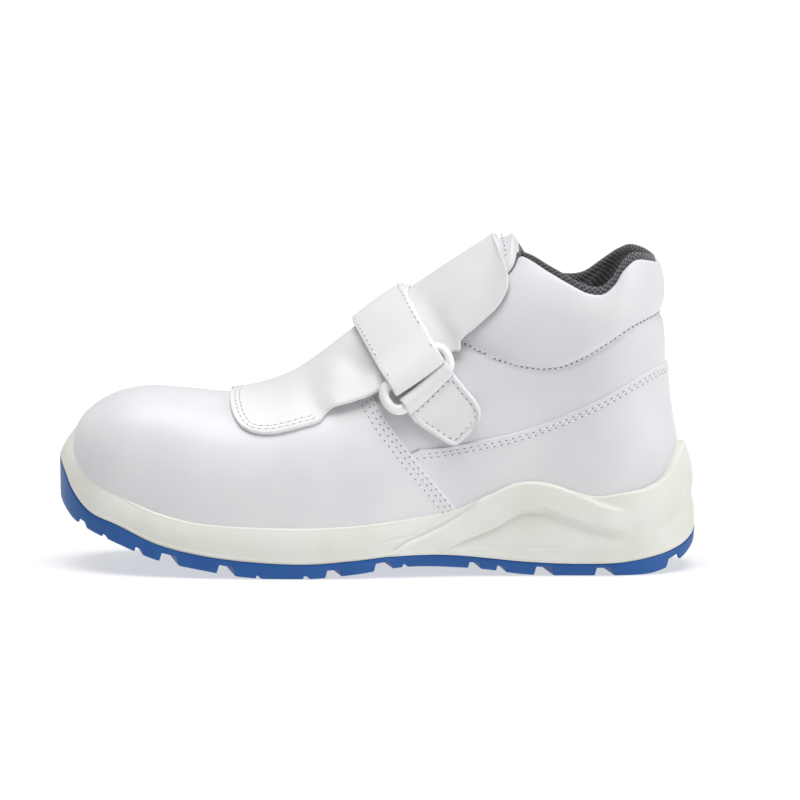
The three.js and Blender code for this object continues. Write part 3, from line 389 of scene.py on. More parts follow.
def instep_table():
    table = np.zeros((len(TABLE_S), len(TABLE_RUN), 3))
    drop = 94 * np.linspace(0, 1, 320) ** 2
    for i, s in enumerate(TABLE_S):
        ahead = (front_line - (flap_start + up_slope * s)) @ up_slope
        k = np.nonzero((ahead[:-1] <= 0) & (ahead[1:] > 0))[0][-1]
        ridge = front_line[k] + (front_line[k + 1] - front_line[k]) * ahead[k] / (ahead[k] - ahead[k + 1])
        x = ridge[0] + down_slope[0] * drop
        z = ridge[1] + down_slope[1] * drop
        for side in (-1, 1):
            arc = on_upper(x, z, np.full(x.shape, side))
            arc[0, 1] = swing_at(x[0]) * (1 - z[0] / BOOT_HEIGHT)
            run = running(arc)
            here = TABLE_RUN < 0 if side < 0 else TABLE_RUN >= 0
            for axis in range(3):
                table[i, here, axis] = np.interp(np.abs(TABLE_RUN[here]), run, arc[:, axis])
    return table


INSTEP = instep_table()
along_grad, across_grad = np.gradient(INSTEP, axis=(0, 1))
INSTEP_NORMAL = unit(np.cross(along_grad, across_grad))


def look_up(table, s, run):
    """Smooth look-up in an instep table."""
    s, run = np.broadcast_arrays(s, run)
    out = 0
    fs = np.clip(s - TABLE_S[0], 1, len(TABLE_S) - 3.001)
    fr = np.clip(run - TABLE_RUN[0], 1, len(TABLE_RUN) - 3.001)
    i, j = fs.astype(int), fr.astype(int)

    def weights(t):
        return [(-t + 2 * t * t - t ** 3) / 2, (2 - 5 * t * t + 3 * t ** 3) / 2,
                (t + 4 * t * t - 3 * t ** 3) / 2, (-t * t + t ** 3) / 2]
    for a, wa in enumerate(weights(fs - i)):
        for b, wb in enumerate(weights(fr - j)):
            out = out + table[i + a - 1, j + b - 1] * (wa * wb)[..., None]
    return out


def instep(s, run, offset=0.0):
    return look_up(INSTEP, s, run) + unit(look_up(INSTEP_NORMAL, s, run)) * np.asarray(offset)[..., None]


def instep_with_normal(s, run, offset):
    normal = unit(look_up(INSTEP_NORMAL, s, run))
    return look_up(INSTEP, s, run) + normal * offset[..., None], normal


def lift(s, run):
    """How far the padded tongue lifts the flap above the upper."""
    up = smooth((s - PADDING_START) / (PADDING_FULL - PADDING_START))
    return TONGUE_PADDING * up * smooth(1 - np.abs(run) / PADDING_REACH)


def strap_point(s, run, offset):
    turned = run + STRAP_SKEW * (s - STRAP_PLACE)
    return instep(s, turned, offset + lift(s, turned))


# Mesh helpers
def grid_quads(rows, cols, wrap=False, start=0):
    r, c = np.meshgrid(np.arange(rows - 1), np.arange(cols if wrap else cols - 1), indexing="ij")
    a = r * cols + c
    b = r * cols + (c + 1) % cols
    return (np.stack([a, b, b + cols, a + cols], -1) + start).reshape(-1, 4)


def make_object(name, points, faces, materials, replaces=(), sharp=None, uv=None, index=None):
    """A mesh object from points in millimetres and quads or triangles."""
    mesh = bpy.data.meshes.new(name)
    faces = [f if isinstance(f, list) else f.tolist() for f in faces]
    mesh.from_pydata((np.asarray(points) * MM).tolist(), [], faces)
    if uv is not None:
        layer = mesh.uv_layers.new(name="surface")
        loops = np.zeros(len(mesh.loops), np.int32)
        mesh.loops.foreach_get("vertex_index", loops)
        layer.data.foreach_set("uv", np.asarray(uv, np.float32)[loops].ravel())
    for material in materials if isinstance(materials, (list, tuple)) else [materials]:
        mesh.materials.append(material)
    if index is not None:
        mesh.polygons.foreach_set("material_index", np.asarray(index, np.int32))
    bm = bmesh.new()
    bm.from_mesh(mesh)
    bmesh.ops.remove_doubles(bm, verts=bm.verts, dist=0.004 * MM)
    bmesh.ops.recalc_face_normals(bm, faces=bm.faces)
    bm.to_mesh(mesh)
    bm.free()
    mesh.polygons.foreach_set("use_smooth", [True] * len(mesh.polygons))
    if sharp is not None:
        mesh.set_sharp_from_angle(angle=math.radians(sharp))
    obj = bpy.data.objects.new(name, mesh)
    bpy.context.scene.collection.objects.link(obj)
    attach(obj, "root")
    if replaces:
        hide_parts(*replaces)
    return obj


def normals_of(grid):
    return unit(np.cross(np.gradient(grid, axis=1), np.gradient(grid, axis=0)))


def edged(n, length, radius):
    """Stations from 0 to 1 with extra ones close to the ends, so that an edge can be rounded there."""
    near = np.array([0, 0.04, 0.15, 0.35, 0.65, 1.0]) * radius / length
    inner = np.linspace(near[-1], 1 - near[-1], n)
    return np.concatenate([near[:-1], inner, (1 - near[:-1])[::-1]])


def edge_distance(grid, sides="abcd"):
    """Distance of each grid point from the chosen borders: a first row, b last row, c and d columns."""
    along = np.linalg.norm(np.diff(grid, axis=0), axis=2)
    across = np.linalg.norm(np.diff(grid, axis=1), axis=2)
    rows = np.vstack([np.zeros((1, grid.shape[1])), np.cumsum(along, axis=0)])
    cols = np.hstack([np.zeros((grid.shape[0], 1)), np.cumsum(across, axis=1)])
    found = {"a": rows, "b": rows[-1:] - rows, "c": cols, "d": cols[:, -1:] - cols}
    return np.min([found[s] for s in sides], axis=0)


def pillow(middle, normal, thickness, radius):
    """Both faces of a sheet round its middle surface, which meet at its rounded border."""
    reach = normal * thickness / 2 * round_edge(edge_distance(middle) / radius)[..., None]
    return middle + reach, middle - reach


def two_faces(top, bottom, wrap=False):
    rows, cols = top.shape[:2]
    points = np.vstack([top.reshape(-1, 3), bottom.reshape(-1, 3)])
    under = grid_quads(rows, cols, wrap, rows * cols)[:, ::-1]
    return points, np.vstack([grid_quads(rows, cols, wrap), under])


def polyline_distance(x, z, points):
    """Distance from side-view points to a polyline, negative on its right side."""
    best = np.full(np.shape(x), 1e9)
    sign = np.ones(np.shape(x))
    for a, b in zip(points[:-1], points[1:]):
        d = b - a
        t = np.clip(((x - a[0]) * d[0] + (z - a[1]) * d[1]) / (d @ d), 0, 1)
        dist = np.hypot(x - a[0] - t * d[0], z - a[1] - t * d[1])
        cross = d[0] * (z - a[1]) - d[1] * (x - a[0])
        sign = np.where(dist < best, np.sign(cross), sign)
        best = np.minimum(best, dist)
    return best * sign


def bump_at(x, z, cx, cz, rx, rz, turn=0.0):
    """A soft hill of height 1 with its own half widths and turn."""
    c, s = math.cos(turn), math.sin(turn)
    u = ((x - cx) * c + (z - cz) * s) / rx
    v = (-(x - cx) * s + (z - cz) * c) / rz
    return np.exp(-(u * u + v * v))


# Materials
def node_material(name, roughness, **sockets):
    material = bpy.data.materials.new(name)
    material.use_nodes = True
    tree = material.node_tree
    shader = tree.nodes["Principled BSDF"]
    shader.inputs["Roughness"].default_value = roughness
    for key, value in sockets.items():
        shader.inputs[key.replace("_", " ")].default_value = value
    return material, tree, shader


def linear(hex_colour):
    def one(v):
        return v / 12.92 if v <= 0.04045 else ((v + 0.055) / 1.055) ** 2.4
    return [one(int(hex_colour[i:i + 2], 16) / 255) for i in (1, 3, 5)] + [1]


def add_node(tree, kind, **values):
    node = tree.nodes.new(kind)
    for key, value in values.items():
        if hasattr(node, key):
            setattr(node, key, value)
        else:
            node.inputs[key.replace("_", " ")].default_value = value
    return node


def tinted(tree, shader, factor, dark, light, low=0.3, high=0.7):
    ramp = add_node(tree, "ShaderNodeValToRGB")
    ramp.color_ramp.elements[0].position = low
    ramp.color_ramp.elements[0].color = linear(dark)
    ramp.color_ramp.elements[1].position = high
    ramp.color_ramp.elements[1].color = linear(light)
    tree.links.new(factor, ramp.inputs["Fac"])
    tree.links.new(ramp.outputs["Color"], shader.inputs["Base Color"])
    return ramp


def rough_range(tree, shader, factor, low, high):
    span = add_node(tree, "ShaderNodeMapRange", To_Min=low, To_Max=high)
    tree.links.new(factor, span.inputs["Value"])
    tree.links.new(span.outputs["Result"], shader.inputs["Roughness"])


def bumped(tree, shader, heights, distance=0.0002, strength=0.3):
    """Chains height maps into bumps."""
    previous = None
    for height, share in heights:
        bump = add_node(tree, "ShaderNodeBump", Distance=distance * share, Strength=strength)
        tree.links.new(height, bump.inputs["Height"])
        if previous:
            tree.links.new(previous.outputs["Normal"], bump.inputs["Normal"])
        previous = bump
    tree.links.new(previous.outputs["Normal"], shader.inputs["Normal"])


def noise(tree, coords, scale, detail=3.0, rough=0.55):
    node = add_node(tree, "ShaderNodeTexNoise", Scale=scale, Detail=detail, Roughness=rough)
    tree.links.new(coords, node.inputs["Vector"])
    return node.outputs["Fac"]


def object_coords(tree):
    return add_node(tree, "ShaderNodeTexCoord").outputs["Object"]


def leather(name, dark="#d9d9dd", light="#e2e2e5", roughness=(0.36, 0.5), grain=1.0):
    """Smooth white microfibre with a fine grain and a faint cloudiness."""
    material, tree, shader = node_material(name, 0.45, Specular_IOR_Level=0.4)
    coords = object_coords(tree)
    cloud = noise(tree, coords, 26, 2.0)
    tinted(tree, shader, cloud, dark, light)
    pores = add_node(tree, "ShaderNodeTexVoronoi", Scale=1500.0, feature="SMOOTH_F1")
    tree.links.new(coords, pores.inputs["Vector"])
    fine = noise(tree, coords, 900, 4.0)
    soft = noise(tree, coords, 90, 2.0)
    rough_range(tree, shader, fine, *roughness)
    bumped(tree, shader, [(soft, 3.0), (pores.outputs["Distance"], 0.35 * grain), (fine, 0.5 * grain)],
           distance=0.0001, strength=0.35)
    return material


def foam(name):
    material, tree, shader = node_material(name, 0.55, Specular_IOR_Level=0.35)
    coords = object_coords(tree)
    tinted(tree, shader, noise(tree, coords, 30, 3.0), "#dadad1", "#e4e4df")
    fine = noise(tree, coords, 1400, 3.0)
    rough_range(tree, shader, fine, 0.45, 0.62)
    bumped(tree, shader, [(noise(tree, coords, 260, 3.0), 1.0), (fine, 0.6)], 0.0001, 0.35)
    return material


def rubber(name):
    material, tree, shader = node_material(name, 0.5, Specular_IOR_Level=0.45)
    coords = object_coords(tree)
    tinted(tree, shader, noise(tree, coords, 40, 4.0), "#0f4f96", "#1c5a9f")
    fine = noise(tree, coords, 1100, 4.0)
    rough_range(tree, shader, fine, 0.4, 0.6)
    bumped(tree, shader, [(noise(tree, coords, 300, 2.0), 0.8), (fine, 0.5)], 0.0001, 0.4)
    return material


def spacer_mesh(name):
    """Knitted spacer mesh: rows of small openings between lighter threads."""
    material, tree, shader = node_material(name, 0.9, Sheen_Weight=0.25, Sheen_Roughness=0.5)
    uv = add_node(tree, "ShaderNodeUVMap", uv_map="surface").outputs["UV"]
    place = add_node(tree, "ShaderNodeMapping")
    place.inputs["Rotation"].default_value[2] = math.radians(45)
    place.inputs["Scale"].default_value = (0.62, 0.62, 0.62)
    tree.links.new(uv, place.inputs["Vector"])
    cells = add_node(tree, "ShaderNodeTexVoronoi", Scale=1.0, Randomness=0.12, voronoi_dimensions="2D")
    tree.links.new(place.outputs["Vector"], cells.inputs["Vector"])
    cells_out = cells.outputs["Distance"]
    ramp = tinted(tree, shader, cells_out, "#1f1f22", "#77777b", 0.18, 0.62)
    middle = ramp.color_ramp.elements.new(0.4)
    middle.color = linear("#58585c")
    bumped(tree, shader, [(cells_out, 6.0)], 0.0001, 0.9)
    return material


def cloth(name, dark, light):
    material, tree, shader = node_material(name, 0.95)
    coords = object_coords(tree)
    weave = add_node(tree, "ShaderNodeTexVoronoi", Scale=1100.0, Randomness=0.3)
    tree.links.new(coords, weave.inputs["Vector"])
    tinted(tree, shader, weave.outputs["Distance"], dark, light, 0.1, 0.7)
    bumped(tree, shader, [(weave.outputs["Distance"], 3.0)], 0.0001, 0.7)
    return material


def plastic(name):
    material, tree, shader = node_material(name, 0.3, Coat_Weight=0.15, Coat_Roughness=0.2)
    coords = object_coords(tree)
    tinted(tree, shader, noise(tree, coords, 60, 2.0), "#ebebe8", "#f4f4f2")
    fine = noise(tree, coords, 700, 2.0)
    rough_range(tree, shader, fine, 0.24, 0.36)
    bumped(tree, shader, [(fine, 0.4)], 0.0001, 0.2)
    return material


def thread(name, dark, light):
    material, tree, shader = node_material(name, 0.6)
    coords = object_coords(tree)
    twist = noise(tree, coords, 2600, 1.0)
    tinted(tree, shader, twist, dark, light)
    bumped(tree, shader, [(twist, 0.8)], 0.0001, 0.5)
    return material


LEATHER = leather("upper_leather")
FLAP_LEATHER = leather("flap_leather", "#dfdfe0", "#e8e8e9")
STRAP_LEATHER = leather("strap_leather", "#e6e6e7", "#ededee", grain=1.2)
TAB_LEATHER = leather("tab_leather", "#dddddf", "#e6e6e8", grain=1.2)
TONGUE_LEATHER = leather("tongue_leather", "#dbdbde", "#e4e4e6")
FOAM = foam("midsole_foam")
RUBBER = rubber("outsole_rubber")
MESH = spacer_mesh("lining_mesh")
FOOTBED = cloth("footbed_fabric", "#5c5c60", "#7c7c80")
PLASTIC = plastic("ring_plastic")
THREAD = thread("white_thread", "#dededf", "#f6f6f6")
# Painted shade: a dark grey that stands in for the shade inside the needle holes beside each stitch
NEEDLE_HOLE_SHADE = thread("needle_hole_shade", "#646468", "#7e7e82")

# Shape of the leather: puffed collar, pressed stitch lines and soft folds
padding_z = through(PADDING_LINE[:, 0], PADDING_LINE[:, 1])
collar_points = side_points(COLLAR_LINE)
collar_z = through(collar_points[:, 0], collar_points[:, 1])
collar_up = through(collar_points[:, 0], COLLAR_LINE[:, 2] * BOOT_HEIGHT)


def relief(x, z, side):
    """How far the leather stands out from the plain form, in millimetres."""
    top = collar_z(x) + np.where(side > 0, collar_up(x), 0)
    base = padding_z(x)
    span = np.maximum(top - base, 4)
    t = (z - base) / span
    here = smooth((x - 30) / 14)
    puff = np.where((t > 0) & (t < 1), np.sin(np.pi * np.clip(t, 0, 1) ** 0.8) ** 0.75, 0)
    tall = smooth(span / 22)
    press = np.exp(-((z - base) / 1.7) ** 2) * smooth((x - 34) / 8)
    return 3.0 * puff * here * (0.45 + 0.55 * tall) * (1 - 0.7 * smooth((x - 112) / 24)) - 0.7 * press


def crossing(values, wanted_rows):
    """First place along each row where values turn from negative to positive, as a share."""
    out = np.zeros(len(values))
    for i, row in enumerate(values):
        k = np.nonzero((row[:-1] < 0) & (row[1:] >= 0))[0]
        if len(k):
            j = k[0]
            u = row[j] / (row[j] - row[j + 1])
            out[i] = wanted_rows[j] + (wanted_rows[j + 1] - wanted_rows[j]) * u
    return out


VAMP = side_points(VAMP_EDGE)[::-1]
vamp_x = through(VAMP[:, 1], VAMP[:, 0])
COUNTER = side_points(COUNTER_EDGE)
counter_z = through(COUNTER[:, 0], COUNTER[:, 1])


def vamp_turn(rises, back=0.0):
    """Turns of the vamp's rear edge on both sides, moved forward by a distance in the side view."""
    found = []
    tangent = 1.35
    for side in (-1, 1):
        turns = np.linspace(0.01, 0.45, 300) if side < 0 else np.linspace(0.99, 0.55, 300)
        x, z, _ = chart_side(turns[None, :], rises[:, None])
        found.append(crossing(x - vamp_x(z) + back * tangent, turns))
    return found


def counter_rise(turns, below=0.0):
    """Rises of the heel counter's top edge at some turns."""
    rises = np.linspace(0.0, 0.95, 300)
    x, z, _ = chart_side(turns[:, None], rises[None, :])
    return crossing(z - counter_z(x) + below, rises)


# Upper
def make_upper():
    rises = np.concatenate([np.linspace(0, 0.94, 84), 1 - 0.06 * np.linspace(1, 0, 15)[1:] ** 1.5])
    ridge = front_curve.at(rises)
    s_of = (ridge - flap_start) @ up_slope
    opened = smooth((s_of - THROAT_START) / 8) * (rises > 0.2)
    starts = []
    for side in (-1, 1):
        turns = np.linspace(0, 0.2, 120) if side < 0 else 1 - np.linspace(0, 0.2, 120)
        p = chart(np.broadcast_to(turns, (len(rises), 120)) % 1, rises[:, None])
        spread = np.abs(p[..., 1] - p[:, :1, 1]) - (THROAT_WIDTH / 2 - 1.2)
        starts.append(np.abs(crossing(spread, np.linspace(0, 0.2, 120))) * opened)
    w = np.linspace(0, 1, 431)
    w = w - 0.35 * np.sin(4 * np.pi * w) / (4 * np.pi)
    turn = starts[0][:, None] + (1 - starts[0] - starts[1])[:, None] * w[None, :]
    rise = np.broadcast_to(rises[:, None], turn.shape)
    x, z, side = chart_side(turn, rise)
    base = on_upper(x, z, side)
    normal = chart_normal(turn, rise)
    edge = np.linalg.norm(base - base[-1:], axis=2)
    f = round_edge(edge / 1.1)
    out = relief(x, z, side)
    outer = base + normal * (out - UPPER_WALL / 2 * (1 - f))[..., None]
    inner = base + normal * (out * 0.6 - UPPER_WALL / 2 * (1 + f))[..., None]
    points, faces = two_faces(outer, inner)
    return make_object("quarters", points, faces, LEATHER, ["upper"])


def overlay(name, turn, rise, thickness, sides):
    """A second layer of leather on the upper, from its chart grid."""
    x, z, side = chart_side(turn, rise)
    base = on_upper(x, z, side)
    normal = chart_normal(turn, rise)
    out = relief(x, z, side)
    d = edge_distance(base, sides) / 0.9
    f = round_edge(d)
    top = base + normal * (out - 0.25 + (thickness + 0.25) * f)[..., None]
    bottom = base + normal * (out - 0.25 - 0.4 * f)[..., None]
    points, faces = two_faces(top, bottom)
    return make_object(name, points, faces, LEATHER)


VAMP_TOP = 0.56
VAMP_REAR_TOP = 0.62
VAMP_OFFSET = 1.75
COUNTER_OFFSET = 1.3


def make_vamp():
    rises = np.linspace(0, 1, 96)
    lateral, medial = vamp_turn(rises * VAMP_REAR_TOP)
    w = edged(220, 330, 1.4)
    turn = lateral[:, None] * (1 - w) + (medial[:, None] - 1) * w
    to_rear = smooth(np.abs(2 * w - 1) * 2.2 - 1.2)
    rise = rises[:, None] * (VAMP_TOP + (VAMP_REAR_TOP - VAMP_TOP) * to_rear)[None, :]
    return overlay("vamp", turn, rise, VAMP_OFFSET, "cd")


def make_counter():
    start = crossing(chart_side(np.linspace(0.05, 0.45, 300)[None], np.array([[0.2]]))[0] + 8,
                     np.linspace(0.05, 0.45, 300))[0]
    turns = np.linspace(start, 1 - start, 300)
    top = counter_rise(turns)
    v = edged(56, 58, 1.4)[6:]
    v = (v - v[0]) / (v[-1] - v[0])
    rise = v[:, None] * top[None, :]
    return overlay("heel_counter", np.broadcast_to(turns, rise.shape), rise, COUNTER_OFFSET, "b")


# Collar lining
LINING_FRONT = 0.052
LINING_PAD = 6.5
LINING_RIM = 3.9


def make_lining():
    u = np.linspace(0, 1, 340)
    turn = LINING_FRONT + (1 - 2 * LINING_FRONT) * u
    c = (1 - np.cos(np.pi * np.clip(turn * 2, 0, 2))) / 2
    depth = 0.34 * (0.3 + 0.7 * c)
    outer = -UPPER_WALL + 0.35
    section = []
    for v in np.linspace(0, 1, 30):
        pad = LINING_PAD * (0.35 + 0.65 * math.sin(math.pi * min(1, 0.2 + 0.62 * v)))
        section.append((outer - pad, v, 0.0))
    top_pad = -section[-1][0] + outer
    centre = outer - top_pad / 2
    for a in np.linspace(0, math.pi, 22)[1:]:
        section.append((centre - top_pad / 2 * math.cos(a), 1.0, LINING_RIM * math.sin(a) ** 0.8))
    for v in np.linspace(1, 0, 10)[1:]:
        section.append((outer, v, 0.0))
    rows = []
    for offset, v, dz in section:
        rise = 1 - depth * (1 - v)
        x, z, side = chart_side(turn, rise)
        normal = chart_normal(turn, rise)
        wave = 0.35 * np.sin(turn * 2 * np.pi * 9 + v * 2) * smooth(v * 2) * (offset < centre)
        p = on_upper(x, z, side) + normal * (offset + wave)[..., None]
        p[..., 2] += dz
        rows.append(p)
    grid = np.array(rows)
    along = running(grid[30])
    down = running(grid[:, 170])
    uv = np.stack(np.meshgrid(along, down), -1).reshape(-1, 2)
    n, m = grid.shape[:2]
    points = grid.reshape(-1, 3)
    faces = [f for f in grid_quads(n, m)]
    faces += [[(n - 1) * m + k, (n - 1) * m + k + 1, k + 1, k] for k in range(m - 1)]
    faces += [[r * m for r in range(n)], [r * m + m - 1 for r in range(n)][::-1]]
    piece = make_object("collar_padding", points, faces, MESH, ["collar_lining"], uv=uv)
    return piece


# Tongue
TONGUE_END = 155.6
TAB_START = 140


def tongue_half(s):
    """Half width of the tongue, with its rounded top end."""
    u = np.clip((s - TAB_START) / (TONGUE_END - TAB_START), 0, 1)
    return (26 - 2 * smooth((s - 130) / 10)) * (1 - u ** 2.5) ** 0.4


def make_tongue():
    s = TONGUE_START + (TONGUE_END - 0.02 - TONGUE_START) * edged(90, 128, 1.5)
    w = edged(56, 52, 1.5) * 2 - 1
    S, W = np.meshgrid(s, w, indexing="ij")
    run = W * tongue_half(S)
    outside = smooth((S - TAB_START + 4) / 6)
    between = 1 - smooth((np.abs(run) - 14.2) / 3)
    over = np.maximum(between, outside) * smooth((S - THROAT_START - 1.5) / 3)
    flat = 2.6 * smooth((S - 145) / 9) * (1 - smooth(np.abs(run) / 15))
    top = -2.45 + over * (2.45 + OVERLAY_STEP + lift(S, run) + 0.5 * outside - 0.15 - flat)
    bottom = -4.6 + outside * (1 - between) * 5.2
    middle = (top + bottom) / 2
    base = look_up(INSTEP, S, run)
    centre, normal = instep_with_normal(S, run, middle)
    f = round_edge(edge_distance(base) / 2.2)
    thick = (top - bottom) / 2 * f
    upper = centre + normal * thick[..., None]
    lower = centre - normal * thick[..., None]
    points, faces = two_faces(upper, lower)
    index = [0] * (len(faces) // 2) + [1] * (len(faces) // 2)
    uv = np.stack([S.ravel(), run.ravel()], -1)
    piece = make_object("padded_tongue", points, faces, [TONGUE_LEATHER, MESH], ["tongue"],
                        uv=np.vstack([uv, uv]), index=index)
    return piece


# Flap
FLAP_SIDE = np.array([
    # up the ridge from the front edge of the plain flap, reach down each side
    [-3.3, 34.0], [-2.9, 37.5], [-1.1, 41.8], [2.6, 44.9], [7.7, 46.3], [15.7, 46.4], [24.2, 45.7],
    [29.1, 45.3], [31.5, 44.6], [33.5, 43.0], [35.5, 41.7], [38.8, 41.0], [43.1, 41.5], [51, 42.3],
    [58.6, 42.6], [64.7, 41.8], [80, 41.0], [102.5, 41.4], [106.6, 41.7], [107.6, 39.7], [109.5, 39.0],
    [116.7, 38.2], [125.3, 37.2], [131, 36.4], [134.5, 35.4], [137.8, 33.9], [140.4, 32.4], [142.7, 30.0],
    [144.8, 26.5], [146.6, 20], [148, 9],
])
flap_side = column(FLAP_SIDE, 1)
FLAP_FRONT = FLAP_SIDE[0, 0]


def bowed(s, run):
    """The flap's front edge bows back over the ridge."""
    bow = np.clip(1 - np.abs(run) / FLAP_SIDE[0, 1], 0, 1) ** 1.5
    return s + 4.5 * bow * (1 - smooth((s - FLAP_FRONT) / 25))


def flap_under(s, run):
    """Offset of the flap's under face: tight at its stitched front, free behind it."""
    free = smooth((s - 28) / 12)
    reach = flap_side(s)
    near_edge = smooth((np.abs(run) - reach + 16) / 16)
    flare = 2.2 * near_edge * smooth((s - 33) / 10) * (1 - smooth((s - 60) / 16))
    flare = flare + 1.2 * near_edge * smooth((s - 102) / 10)
    return VAMP_OFFSET + 0.1 + 0.45 * free + lift(s, run) + flare


def flap_dents(s, run):
    """Low dents and swellings of the free flap."""
    side = np.where(run < 0, 1.0, 0.8)
    r = np.abs(run)
    dent = -1.1 * bump_at(s, r, 34, 26, 7, 13, 0.25)
    dent = dent - 1.5 * bump_at(s, r, 60, 24, 7, 12, -0.2)
    dent = dent + 0.8 * bump_at(s, r, 47, 24, 8, 14)
    dent = dent - 0.9 * bump_at(s, r, 104, 26, 5, 12, 0.1)
    dent = dent + 0.9 * bump_at(s, r, 122, 22, 12, 14)
    return dent * side


def make_flap():
    s = FLAP_FRONT + (FLAP_LENGTH - FLAP_FRONT) * edged(170, 148, 1.6)
    w = edged(90, 80, 1.6) * 2 - 1
    S, W = np.meshgrid(s, w, indexing="ij")
    run = W * flap_side(S)
    S = bowed(S, run)
    offset = flap_under(S, run) + FLAP_THICKNESS / 2 + flap_dents(S, run)
    middle, normal = instep_with_normal(S, run, offset)
    top, bottom = pillow(middle, normals_like(middle, normal), FLAP_THICKNESS, 1.0)
    points, faces = two_faces(top, bottom)
    return make_object("closing_flap", points, faces, FLAP_LEATHER, ["instep_flap"])


def normals_like(grid, reference):
    """Normals of a bent grid, on the side of some reference normals."""
    n = normals_of(grid)
    n = n * np.sign((n * reference).sum(-1, keepdims=True))
    bad = np.linalg.norm(n, axis=-1, keepdims=True) < 0.5
    return np.where(bad, reference, n)


# Strap
bar_run = -(RING_RUN - (RING_WIDTH - RING_WIRE) / 2)
low_bar_run = -(RING_RUN + (RING_WIDTH - RING_WIRE) / 2)
over_flap = OVERLAY_STEP + FLAP_THICKNESS + 2 * SEAT_GAP
bar_offset = over_flap + STRAP_THICKNESS + CLEARANCE + RING_WIRE / 2


def smooth_path(points, step):
    """A path through points in steps of equal length."""
    points = np.array(points)
    run = running(points)
    at = np.linspace(0, run[-1], int(run[-1] / step) + 1)
    return np.stack([through(run, points[:, i])(at) for i in range(points.shape[1])], 1)


def strip_points(path, thickness, width, centre, corner):
    """Rings round a strip's section along a path of runs and offsets."""
    tangent = unit(np.gradient(path, axis=0))
    normal = np.stack([-tangent[:, 1], tangent[:, 0]], 1)
    half_t, half_w = thickness / 2, width / 2
    ring = []
    for sign_w, sign_t, start in ((1, 1, 0), (-1, 1, 90), (-1, -1, 180), (1, -1, 270)):
        for a in np.radians(np.linspace(start, start + 90, 4)):
            ring.append((sign_w * (half_w - corner) + corner * math.cos(a),
                         sign_t * (half_t - corner) + corner * math.sin(a)))
    ring = np.array(ring)
    fill = []
    for a, b in zip(ring, np.roll(ring, -1, axis=0)):
        gap = np.linalg.norm(b - a)
        steps = max(1, int(gap / 1.6))
        fill += [a + (b - a) * k / steps for k in range(steps)]
    ring = np.array(fill)
    s = centre + ring[:, 0][None, :] * np.ones(len(path))[:, None]
    run = path[:, 0][:, None] + normal[:, 0][:, None] * ring[:, 1][None, :]
    off = path[:, 1][:, None] + normal[:, 1][:, None] * ring[:, 1][None, :]
    return s, run, off


def closed_tube(name, grid, material, replaces=(), loop=False):
    n, m = grid.shape[:2]
    if loop:
        grid = np.concatenate([grid, grid[:1]])
        faces = grid_quads(n + 1, m, True)
    else:
        faces = list(grid_quads(n, m, True))
        faces += [list(range(m))[::-1], [(n - 1) * m + k for k in range(m)]]
    return make_object(name, grid.reshape(-1, 3), faces, material, replaces)


def strap_base(run):
    past = smooth((run - flap_side(STRAP_PLACE) - 2) / 14)
    return over_flap - past * (FLAP_THICKNESS + CLEARANCE) + STRAP_THICKNESS / 2


def strap_slide(run):
    """The strap runs down to the ring a little askew."""
    return -1.3 * smooth((-run - 8) / 38)


def make_strap():
    half = STRAP_THICKNESS / 2
    over = bar_offset + RING_WIRE / 2 + CLEARANCE + half
    path = [(r, strap_base(r)) for r in np.arange(STRAP_ANCHOR, bar_run + 3, -3.0)]
    for back, out in ((0, -3.6), (3, -2.7), (5, -0.8), (5.9, 0.9), (5.4, 2.3), (3.2, 3.3), (0, 3.6)):
        path.append((bar_run - back, bar_offset + out))
    for r in np.arange(bar_run + 3, STRAP_END + 0.1, 3.0):
        down = smooth((r - bar_run) / 12)
        path.append((r, over + (strap_base(r) + STRAP_THICKNESS + CLEARANCE - over) * down))
    path = smooth_path(path, 1.0)
    s, run, off = strip_points(path, STRAP_THICKNESS, STRAP_WIDTH, STRAP_PLACE, corner=0.7)
    crown = 0.35 * (1 - ((s - STRAP_PLACE) / (STRAP_WIDTH / 2)) ** 2)
    under = (np.arange(len(path)) < path[:, 0].argmin()) * smooth((path[:, 0] + 13) / 10)
    s = s + 2.6 * under[:, None] + strap_slide(run)
    grid = strap_point(s, run, off + crown)
    return closed_tube("closing_strap", grid, STRAP_LEATHER, ["strap"])


# Ring
RING_MIDDLE = 80.6
RING_TURN = math.radians(4.8)
RING_TILT = 2.2
LOW_BAR_OFFSET = bar_offset - RING_TILT


def turned_ring(s, run):
    """The ring and its loop lie a little turned, as they do under the pull of the strap."""
    ds, dr = s - RING_MIDDLE, run + RING_RUN
    c, n = math.cos(RING_TURN), math.sin(RING_TURN)
    return RING_MIDDLE + ds * c - dr * n, -RING_RUN + 0.4 + ds * n + dr * c


def ring_path():
    long = (RING_LENGTH + 1.3 - RING_WIRE) / 2
    wide = (RING_WIDTH - RING_WIRE) / 2
    corner = wide - 0.5
    path = []
    for cs, cr, start in ((1, 1, 0), (-1, 1, 90), (-1, -1, 180), (1, -1, 270)):
        for a in np.radians(np.linspace(start, start + 90, 12)):
            path.append((cs * (long - corner) + corner * math.cos(a),
                         cr * (wide - corner) + corner * math.sin(a), a))
        a = math.radians(start + 90)
        if start in (0, 180):
            sign = 1 if start == 0 else -1
            for share in np.linspace(1, -1, 24)[1:-1]:
                path.append((sign * share * (long - corner), cr * wide, a))
    return np.array(path)


def make_ring():
    path = ring_path()
    b = np.linspace(0, 2 * np.pi, 21)[:-1]
    out = RING_WIRE / 2 * np.cos(b)[None, :]
    s = RING_MIDDLE + path[:, 0:1] + out * np.cos(path[:, 2:3])
    run = -(RING_RUN + path[:, 1:2] + out * np.sin(path[:, 2:3]))
    tilt = RING_TILT * (0.5 + path[:, 1:2] / (RING_WIDTH - RING_WIRE))
    off = bar_offset - tilt + RING_WIRE / 2 * np.sin(b)[None, :]
    grid = strap_point(*turned_ring(s, run), off)
    return closed_tube("tension_ring", grid, PLASTIC, ["strap_ring"], loop=True)


